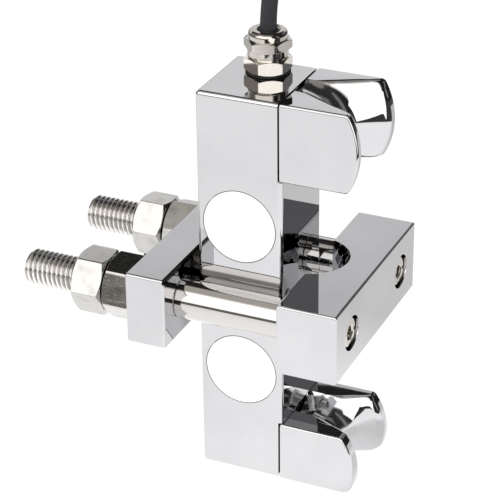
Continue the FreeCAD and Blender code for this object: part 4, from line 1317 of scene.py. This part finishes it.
@dataclass
class CableGland:
    """The gland in the body's top face: hexagon body, sealing ring, cap nut and seal. Millimetres over it.

    Attributes:
        shift: Where the gland's axis lies along Y.
        flats: Width of both hexagons across flats.
        corner: Round of their corners.
        face_radius: Radius of their flat faces.
        body_turn: Direction of the lower hexagon's first flat, in degrees.
        body_bore: Radius of the lower piece's bore.
        body_thread: Radius of the thread in the body, and its lower end.
        neck: Radius of the neck inside the cap nut, and its upper end.
        ring_top: Where the lower hexagon begins.
        hex_top: Where the lower hexagon ends.
        cap_turn: Direction of the cap nut's first flat, in degrees.
        cap_hole: Radius of the cap nut's hole for the cable.
        hole_edge: Chamfer of that hole.
        cap_bore: Radius of the cap nut's bore, and its upper end.
        cap_bottom: Lower end of the cap nut.
        cap_skirt: Radius of its skirt.
        cap_edge: Chamfer of its skirt.
        cap_hex_bottom: Where its hexagon begins.
        cap_hex_top: Where its hexagon ends.
        dome_radius: Radius of its dome.
        dome_foot: Where the dome begins to bend.
        dome_round: How far the dome is drawn in at its top.
        cap_top: Upper end of the cap nut.
    """

    shift: float = 7.3
    flats: float = 13.4
    corner: float = 0.22
    face_radius: float = 6.6
    body_turn: float = 0.0
    body_bore: float = 3.5
    body_thread: Pair = (5.9, -5.0)
    neck: Pair = (5.5, 11.0)
    ring_top: float = 0.7
    hex_top: float = 5.1
    cap_turn: float = 43.5
    cap_hole: float = 3.3
    hole_edge: float = 0.3
    cap_bore: Pair = (5.6, 12.2)
    cap_bottom: float = 5.7
    cap_skirt: float = 6.5
    cap_edge: float = 0.2
    cap_hex_bottom: float = 7.9
    cap_hex_top: float = 11.3
    dome_radius: float = 6.2
    dome_foot: float = 12.5
    dome_round: float = 1.45
    cap_top: float = 14.0
    DOME_STEPS: ClassVar[int] = 8
    BEVEL: ClassVar[float] = 0.10
    RING: ClassVar[tuple[Pair, ...]] = (
        (6.1, 0.08), (6.5, 0.0), (6.95, 0.05), (7.15, 0.2), (7.2, 0.35), (7.15, 0.5), (6.95, 0.65), (6.5, 0.7),
        (6.1, 0.62))
    SEAL: ClassVar[tuple[Pair, ...]] = (
        (2.65, 11.05), (5.5, 11.05), (5.5, 12.15), (3.2, 12.15), (3.2, 13.9), (3.0, 14.2), (2.65, 14.15))

    def draft(self) -> Draft:
        """Starts a mesh on the gland's axis, at the body's top."""
        return Draft(Axis.Z, (0.0, self.shift, box_of("sensor_body")[1].z))

    def build(self) -> None:
        """Makes the four pieces."""
        self.hexagon_body()
        self.cap_nut()
        self.rubber("gland_ring", self.RING, 50.0, "gland_o_ring")
        self.rubber("cable_seal", self.SEAL, 35.0, "gland_seal")

    def hexagon_rings(self, draft: Draft, turn: float, bottom: float, top: float) -> tuple[Outline, list[Ring]]:
        """Gives the chamfered hexagon of a gland piece.

        Args:
            draft: Mesh that the rings belong to.
            turn: Turn of the hexagon in degrees.
            bottom: Lower end over the body.
            top: Upper end over the body.

        Returns:
            The hexagon's outline and its four rings, from the bottom up.
        """
        outline = Hexagon(self.flats, turn, self.corner).outline()
        drop = [(math.hypot(u, v) - self.face_radius) * CHAMFER_SLOPE for u, v in outline]
        sides = [draft.ring(outline, [bottom + d for d in drop]), draft.ring(outline, [top - d for d in drop])]
        lower, upper = draft.lathe([(self.face_radius, bottom), (self.face_radius, top)], outline)
        return outline, [lower, *sides, upper]

    def hexagon_body(self) -> None:
        """Makes the lower hexagon with its threads."""
        draft = self.draft()
        outline, rings = self.hexagon_rings(draft, self.body_turn, self.ring_top, self.hex_top)
        thread_radius, thread_bottom = self.body_thread
        neck_radius, neck_top = self.neck
        under = [(self.body_bore, neck_top), (self.body_bore, thread_bottom),
                 (thread_radius, thread_bottom), (thread_radius, self.ring_top)]
        over = [(neck_radius, self.hex_top), (neck_radius, neck_top)]
        draft.skin(draft.lathe(under, outline) + rings + draft.lathe(over, outline), wrap=True)
        stand_for(draft.piece("gland_hexagon", NICKEL, bevel=self.BEVEL), "gland_nickel", "gland_body")

    def cap_nut(self) -> None:
        """Makes the domed cap nut."""
        draft = self.draft()
        outline, rings = self.hexagon_rings(draft, self.cap_turn, self.cap_hex_bottom, self.cap_hex_top)
        bore_radius, bore_top = self.cap_bore
        foot = [(self.cap_hole, bore_top), (bore_radius, bore_top), (bore_radius, self.cap_bottom),
                (self.cap_skirt - self.cap_edge, self.cap_bottom),
                (self.cap_skirt, self.cap_bottom + self.cap_edge), (self.cap_skirt, self.cap_hex_bottom)]
        rise = self.cap_top - self.dome_foot
        dome = [(self.dome_radius, self.cap_hex_top), (self.dome_radius, self.dome_foot)]
        for step in range(1, self.DOME_STEPS + 1):
            bend = math.radians(90.0 * step / self.DOME_STEPS)
            drawn_in = self.dome_round * (1.0 - math.cos(bend))
            dome.append((self.dome_radius - drawn_in, self.dome_foot + rise * math.sin(bend)))
        dome += [(self.cap_hole + self.hole_edge, self.cap_top), (self.cap_hole, self.cap_top - self.hole_edge)]
        draft.skin(draft.lathe(foot, outline) + rings + draft.lathe(dome, outline), wrap=True)
        stand_for(draft.piece("gland_cap", CAP_NICKEL, bevel=self.BEVEL), "gland_nickel", "gland_cap_nut")

    def rubber(self, name: str, profile: Iterable[Pair], sharp: float, node: str) -> None:
        """Makes the ring under the hexagon or the seal round the cable.

        Args:
            name: Name of the piece.
            profile: Pairs of radius and height.
            sharp: Angle in degrees over which an edge isn't smoothed.
            node: Solid that it stands for.
        """
        draft = self.draft()
        draft.skin(draft.lathe(profile), wrap=True)
        stand_for(draft.piece(name, RUBBER, sharp=sharp), "black_rubber", node)


def round_curve(name: str, points: Sequence[Vector], radius: float, finish: Finish) -> bpy.types.Object:
    """Makes a round curve of one smooth spline.

    Args:
        name: Name of the piece.
        points: Control points in millimetres.
        radius: Radius in millimetres.
        finish: What it is dressed with.

    Returns:
        The curve, riding on the body.
    """
    data = bpy.data.curves.new(name, "CURVE")
    data.dimensions = "3D"
    data.resolution_u = 8
    data.bevel_depth = radius * MM
    data.bevel_resolution = 5
    data.use_fill_caps = True
    spline = data.splines.new("NURBS")
    spline.points.add(len(points) - 1)
    for spot, point in zip(spline.points, points):
        spot.co = (*(point * MM), 1.0)
    spline.order_u = 3
    spline.use_endpoint_u = True
    made = bpy.data.objects.new(name, data)
    bpy.context.scene.collection.objects.link(made)
    finish.dress(made)
    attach(made, BODY)
    return made


@dataclass
class BareLeads:
    """The four leads that fan out of the cable's end. Millimetres.

    Attributes:
        tip: End of the jacket.
        way: Direction of the cable there.
        coat_radius: Radius of a lead.
        wire_radius: Radius of its bare wire.
        spot: How far a lead lies from the cable's middle, sideways and up.
        fan: How much further apart the leads' ends are.
        inside: How far a lead begins inside the jacket.
        bend_at: Where a lead begins to turn aside, and its share of the fan there.
        end_at: Where its coat ends.
        wire_length: Length of the bare wire, and how much more of the fan it takes.
        coat_fall: How far a coat's end sinks, and the height on which it rests.
        wire_fall: The same of a wire's end.
    """

    tip: Vector
    way: Vector
    coat_radius: float = 0.6
    wire_radius: float = 0.35
    spot: float = 0.85
    fan: float = 3.2
    inside: float = 2.0
    bend_at: Pair = (9.0, 0.25)
    end_at: float = 19.0
    wire_length: Pair = (6.0, 0.35)
    coat_fall: Pair = (1.2, 0.62)
    wire_fall: Pair = (0.6, 0.45)
    SPOTS: ClassVar[tuple[Pair, ...]] = ((-1.0, -1.0), (1.0, -1.0), (1.0, 1.0), (-1.0, 1.0))

    def build(self) -> list[bpy.types.Object]:
        """Makes the leads.

        Returns:
            The coats and the bare wires.
        """
        made = []
        for (colour, finish), (across, up) in zip(LEAD_COATS.items(), self.SPOTS):
            coat_points, wire_points = self.points(across * self.spot, up * self.spot)
            coat = round_curve(f"lead_{colour}", coat_points, self.coat_radius, finish)
            wire = round_curve(f"lead_wire_{colour}", wire_points, self.wire_radius, COPPER)
            for piece in (coat, wire):
                LOG.info("%s made", piece.name)
                made.append(piece)
        stand_for(made[0], "lead_insulation", "cable_leads")
        return made

    def points(self, across: float, up: float) -> tuple[list[Vector], list[Vector]]:
        """Lists the control points of one lead.

        Args:
            across: How far it begins beside the cable's middle.
            up: How far it begins over it.

        Returns:
            The points of its coat and of its bare wire.
        """
        aside = Vector((self.way.y, -self.way.x, 0.0))
        fan = self.fan * across
        bend_along, bend_share = self.bend_at
        wire_along, wire_share = self.wire_length
        root = self.tip - self.way * self.inside + aside * across + Vector((0.0, 0.0, up))
        bend = root + self.way * bend_along + aside * fan * bend_share
        end = root + self.way * self.end_at + aside * fan
        end.z = max(self.coat_fall[1], end.z - self.coat_fall[0])
        bare = end + self.way * wire_along + aside * fan * wire_share
        bare.z = max(self.wire_fall[1], bare.z - self.wire_fall[0])
        start = end - (end - bend).normalized()
        return [root, bend, (bend + end) / 2, end], [start, end, (end + bare) / 2, bare]


@dataclass
class SensorCable:
    """The cable: up out of the gland, over behind the body and into a tied coil. Millimetres.

    Attributes:
        diameter: Diameter of the jacket.
        length: Whole length, in metres.
        exit: Where it leaves the gland.
        route: Control points from the gland to the coil.
        coil_centre: Middle of the coil along X and Y.
        mean_radius: Radius at the middle of the bundle of turns.
        slots: Offset from that radius and height of each turn, in the order of winding.
        landing: Angle at which the route meets the coil, in degrees.
        release: Angle at which the tail leaves the last turn, in degrees.
        tail: Length of the tail.
        tail_rests: Shares of the tail and the heights that it has there.
    """

    diameter: float = 5.2
    length: float = 2.0
    exit: Triple = (0.0, 7.3, 149.4)
    route: tuple[Triple, ...] = (
        (0.0, 7.3, 145.5),
        (0.0, 7.3, 151.5),
        (1.4, 7.9, 167.5),
        (-1.6, 18.0, 185.7),
        (-9.1, 36.7, 194.6),
        (-17.8, 56.2, 189.3),
        (-24.5, 68.6, 172.4),
        (-27.4, 72.3, 145.0),
        (-27.3, 70.6, 118.0),
        (-26.3, 66.4, 92.0),
        (-25.2, 60.0, 66.5),
        (-25.0, 63.0, 43.0),
        (-25.6, 75.5, 28.3),
        (-26.6, 91.3, 22.0),
    )
    coil_centre: Pair = (-56.7, 102.6)
    mean_radius: float = 26.7
    slots: tuple[Pair, ...] = (
        (2.6, 16.9), (-2.6, 16.9),
        (-5.15, 12.4), (0.0, 12.4), (5.15, 12.4),
        (2.6, 7.9), (-2.6, 7.9),
        (-5.15, 3.4), (0.0, 3.4), (5.15, 3.4))
    landing: float = 27.0
    release: float = 293.5
    tail: float = 30.0
    tail_rests: tuple[Pair, ...] = ((0.33, 3.3), (0.66, 2.8), (1.0, 2.6))
    TURN_POINTS: ClassVar[int] = 16
    SHIFT_START: ClassVar[float] = -15.0
    SHIFT_STAGGER: ClassVar[float] = 11.5
    SHIFT_LENGTH: ClassVar[float] = 40.0

    def slot_at(self, angle: float) -> Pair:
        """Gives where the turn lies in the bundle.

        Args:
            angle: Wound angle in degrees, counted on over the turns.

        Returns:
            Offset from the mean radius, and height.
        """
        offset, height = self.slots[0]
        for number, (before, after) in enumerate(zip(self.slots, self.slots[1:])):
            start = 360.0 * (number + 1) + self.SHIFT_START - self.SHIFT_STAGGER * number
            share = min(max((angle - start) / self.SHIFT_LENGTH, 0.0), 1.0)
            share = share * share * (3.0 - 2.0 * share)
            offset += share * (after[0] - before[0])
            height += share * (after[1] - before[1])
        return offset, height

    def coil_points(self) -> list[Vector]:
        """Lists the control points of the wound turns, in millimetres.

        Returns:
            The points, from the landing to the release.
        """
        step = 360.0 / self.TURN_POINTS
        last = 360.0 * (len(self.slots) - 1) + self.release
        count = round((last - self.landing) / step)
        points = []
        for number in range(count + 1):
            angle = self.landing + (last - self.landing) * number / count
            offset, height = self.slot_at(angle)
            radius = (self.mean_radius + offset) / math.cos(math.pi / self.TURN_POINTS)
            turn = math.radians(angle)
            points.append(Vector((
                self.coil_centre[0] + radius * math.cos(turn),
                self.coil_centre[1] + radius * math.sin(turn),
                height)))
        return points

    def build(self) -> None:
        """Makes the cable and its leads, and dresses its ties."""
        points = [Vector(point) for point in self.route] + self.coil_points()
        turn = math.radians(self.release)
        way = Vector((-math.sin(turn), math.cos(turn), 0.0))
        release = points[-1]
        for share, height in self.tail_rests:
            points.append(release + way * self.tail * share)
            points[-1].z = height
        cable = round_curve("cable_run", points, self.diameter / 2, JACKET)
        leads = BareLeads(points[-1], way).build()
        dress_nodes(NYLON, "coil_ties")
        stand_for(cable, "cable_jacket", "cable", "cable_coil")


@dataclass(frozen=True)
class Panel:
    """A part of the studio that is seen in polished surfaces. Angles are in degrees.

    Attributes:
        azimuth: Direction of its middle, round from +X.
        width: Its width.
        low: Elevation of its lower edge.
        high: Elevation of its upper edge.
        colour: Its glow.
        side_edge: Softness of its sides.
        low_edge: Softness of its lower edge.
        high_edge: Softness of its upper edge.
    """

    azimuth: float
    width: float
    low: float
    high: float
    colour: Colour
    side_edge: float = 6.0
    low_edge: float = 2.0
    high_edge: float = 2.0

    def share(self, graph: Graph, azimuth: Socket, height: Socket) -> Socket:
        """Gives how much of the panel is seen in a direction.

        Args:
            graph: Node tree of the world.
            azimuth: Direction round the object, in radians.
            height: Elevation, in radians.

        Returns:
            A value from 0 to 1.
        """
        turned = graph.math("SUBTRACT", azimuth, math.radians(self.azimuth))
        aside = graph.math("ABSOLUTE", graph.math("WRAP", turned, math.pi, -math.pi))
        across = graph.around(aside, math.radians(self.width / 2), math.radians(self.side_edge), 1.0, 0.0)
        over = graph.around(height, math.radians(self.low), math.radians(self.low_edge), 0.0, 1.0)
        under = graph.around(height, math.radians(self.high), math.radians(self.high_edge), 1.0, 0.0)
        return graph.math("MULTIPLY", across, graph.math("MULTIPLY", over, under))


@dataclass
class Studio:
    """Camera, floor and soft light. Metres.

    Attributes:
        camera_place: Where the camera stands.
        right: Direction of the picture's right side.
        up: Direction of the picture's upper side.
        back: Direction from the object to the camera.
        focal_pixels: Focal length in pixels of the picture.
        image_pixels: Width of the picture.
        sensor: Width of the camera's sensor, in millimetres.
        clip_start: Where the camera's view begins.
        floor_side: Side of the floor.
        dome: Strength of the light on matt surfaces.
        room: What polished surfaces show between the panels.
        card_place: Middle of the glowing card.
        card_size: Width and height of the card.
        card_glow: Brightness of the card.
        card_tilt: How far the card leans aside, in degrees.
        panels: What polished surfaces show of the room; a later panel covers an earlier one.
    """

    camera_place: Triple = (0.22726, -0.51127, 0.36836)
    right: Triple = (0.913392, 0.406970, -0.009476)
    up: Triple = (-0.181273, 0.427468, 0.885670)
    back: Triple = (0.364492, -0.807247, 0.464218)
    focal_pixels: float = 1952.96
    image_pixels: float = 500.0
    sensor: float = 36.0
    clip_start: float = 0.01
    floor_side: float = 8.0
    dome: float = 1.5
    room: Colour = (0.024, 0.0235, 0.023)
    card_place: Triple = (0.228, -0.232, 0.120)
    card_size: Pair = (0.200, 0.200)
    card_glow: float = 2.1
    card_tilt: float = -17.0
    panels: tuple[Panel, ...] = (
        # The ceiling, and dim strips and walls at the right, the right rear and the left.
        Panel(0.0, 400.0, 74.0, 95.0, (0.39, 0.37, 0.34), high_edge=1.0),
        Panel(-4.0, 12.0, 2.0, 52.0, (0.34, 0.34, 0.35), side_edge=2.0),
        Panel(62.0, 34.0, 14.0, 40.0, (0.24, 0.24, 0.25)),
        Panel(184.0, 70.0, 58.0, 76.0, (0.64, 0.61, 0.57)),
        Panel(-168.0, 56.0, 4.0, 60.0, (0.34, 0.32, 0.30)),
        # The rear panel, which flat tops show, and its brighter lower part.
        Panel(122.0, 84.0, 5.0, 31.6, (0.84, 0.84, 0.85), high_edge=0.12),
        Panel(122.0, 84.0, 5.0, 26.0, (1.05, 1.05, 1.055), high_edge=3.0),
        # The front panel, with its dimmer top and the dark gap between it and the floor.
        Panel(-92.0, 100.0, 55.0, 74.0, (0.95, 0.92, 0.87)),
        Panel(-112.0, 70.0, -8.0, 9.0, (0.22, 0.21, 0.19)),
        Panel(-92.0, 100.0, 9.0, 58.0, (2.30, 2.27, 2.22), low_edge=1.5, high_edge=4.0),
    )

    def build(self) -> None:
        """Sets up the camera, the floor and the light."""
        self.camera()
        self.floor()
        self.card()
        self.world()
        bpy.context.scene.view_settings.view_transform = "Standard"

    def camera(self) -> None:
        """Puts the camera where the photograph was taken from."""
        data = bpy.data.cameras.new("camera")
        data.sensor_width = self.sensor
        data.lens = self.sensor * self.focal_pixels / self.image_pixels
        data.clip_start = self.clip_start
        made = bpy.data.objects.new("camera", data)
        columns = [Vector(way).normalized() for way in (self.right, self.up, self.back)]
        turn = Matrix(columns).transposed().to_4x4()
        made.matrix_world = Matrix.Translation(self.camera_place) @ turn
        bpy.context.scene.collection.objects.link(made)
        bpy.context.scene.camera = made

    def floor(self) -> None:
        """Lays the pale floor."""
        half = self.floor_side / 2
        corners = [(-half, -half, 0.0), (half, -half, 0.0), (half, half, 0.0), (-half, half, 0.0)]
        mesh = bpy.data.meshes.new("floor")
        mesh.from_pydata(corners, [], [(0, 1, 2, 3)])
        made = bpy.data.objects.new("floor", mesh)
        bpy.context.scene.collection.objects.link(made)
        PaleFloor("pale_floor").dress(made)

    def card(self) -> None:
        """Puts up a glowing card beside the object, which only polished surfaces show."""
        data = bpy.data.lights.new("card", "AREA")
        data.shape = "RECTANGLE"
        data.size, data.size_y = self.card_size
        data.energy = self.card_glow * math.pi * data.size * data.size_y
        made = bpy.data.objects.new("card", data)
        place = Vector(self.card_place)
        facing = Vector((-place.x, -place.y, 0.0)).to_track_quat("-Z", "Y").to_matrix().to_4x4()
        tilt = Matrix.Rotation(math.radians(self.card_tilt), 4, "Z")
        made.matrix_world = Matrix.Translation(place) @ facing @ tilt
        made.visible_camera = False
        made.visible_diffuse = False
        bpy.context.scene.collection.objects.link(made)

    def world(self) -> None:
        """Lights the scene: an even dome for matt surfaces, a room with panels for polished ones."""
        world = bpy.data.worlds.new("studio")
        bpy.context.scene.world = world
        world.use_nodes = True
        graph = Graph(world.node_tree)
        parts = graph.split(graph.add("ShaderNodeTexCoord").outputs["Generated"])
        azimuth = graph.math("ARCTAN2", parts["Y"], parts["X"])
        height = graph.math("ARCSINE", parts["Z"])
        seen = graph.add("ShaderNodeCombineXYZ", dict(zip("XYZ", self.room))).outputs[0]
        for panel in self.panels:
            # 4, 5 and output 1 are the vector sockets of this node.
            inputs = {"Factor": panel.share(graph, azimuth, height), 4: seen, 5: panel.colour}
            seen = graph.add("ShaderNodeMix", inputs, data_type="VECTOR").outputs[1]
        room = graph.add("ShaderNodeBackground", {"Color": seen}).outputs[0]
        dome = graph.add("ShaderNodeBackground", {"Color": WHITE, "Strength": self.dome}).outputs[0]
        backdrop = graph.add("ShaderNodeBackground", {"Color": WHITE}).outputs[0]
        rays = graph.add("ShaderNodeLightPath").outputs
        lit = graph.add("ShaderNodeMixShader", {0: rays["Is Glossy Ray"], 1: dome, 2: room}).outputs[0]
        shown = graph.add("ShaderNodeMixShader", {0: rays["Is Camera Ray"], 1: lit, 2: backdrop}).outputs[0]
        graph.add("ShaderNodeOutputWorld", {"Surface": shown})


def main() -> None:
    """Builds and dresses the load cell, piece by piece."""
    logging.basicConfig(level=logging.INFO, format="%(message)s")
    Studio().build()
    SensorCable().build()
    SensorBlock().dress()
    RopeSeat(
        Level.UPPER, axis_x=14.5, above=13.0, below=13.0, rim=25.0, bottom=11.5, hollow=8.8, lip=4.5,
        groove_corner=7.4).build()
    RopeSeat(
        Level.LOWER, axis_x=19.0, above=13.0, below=8.0, rim=20.6, bottom=9.6, hollow=8.4, lip=3.8,
        foot=4.0).build()
    ClampBlocks().dress()
    TieRod(Side.FRONT, inner_facet=19.0, lock_facet=30.0).build()
    TieRod(Side.REAR, inner_facet=51.0, lock_facet=37.0).build()
    CableGland().build()


if __name__ == "__main__":
    main()
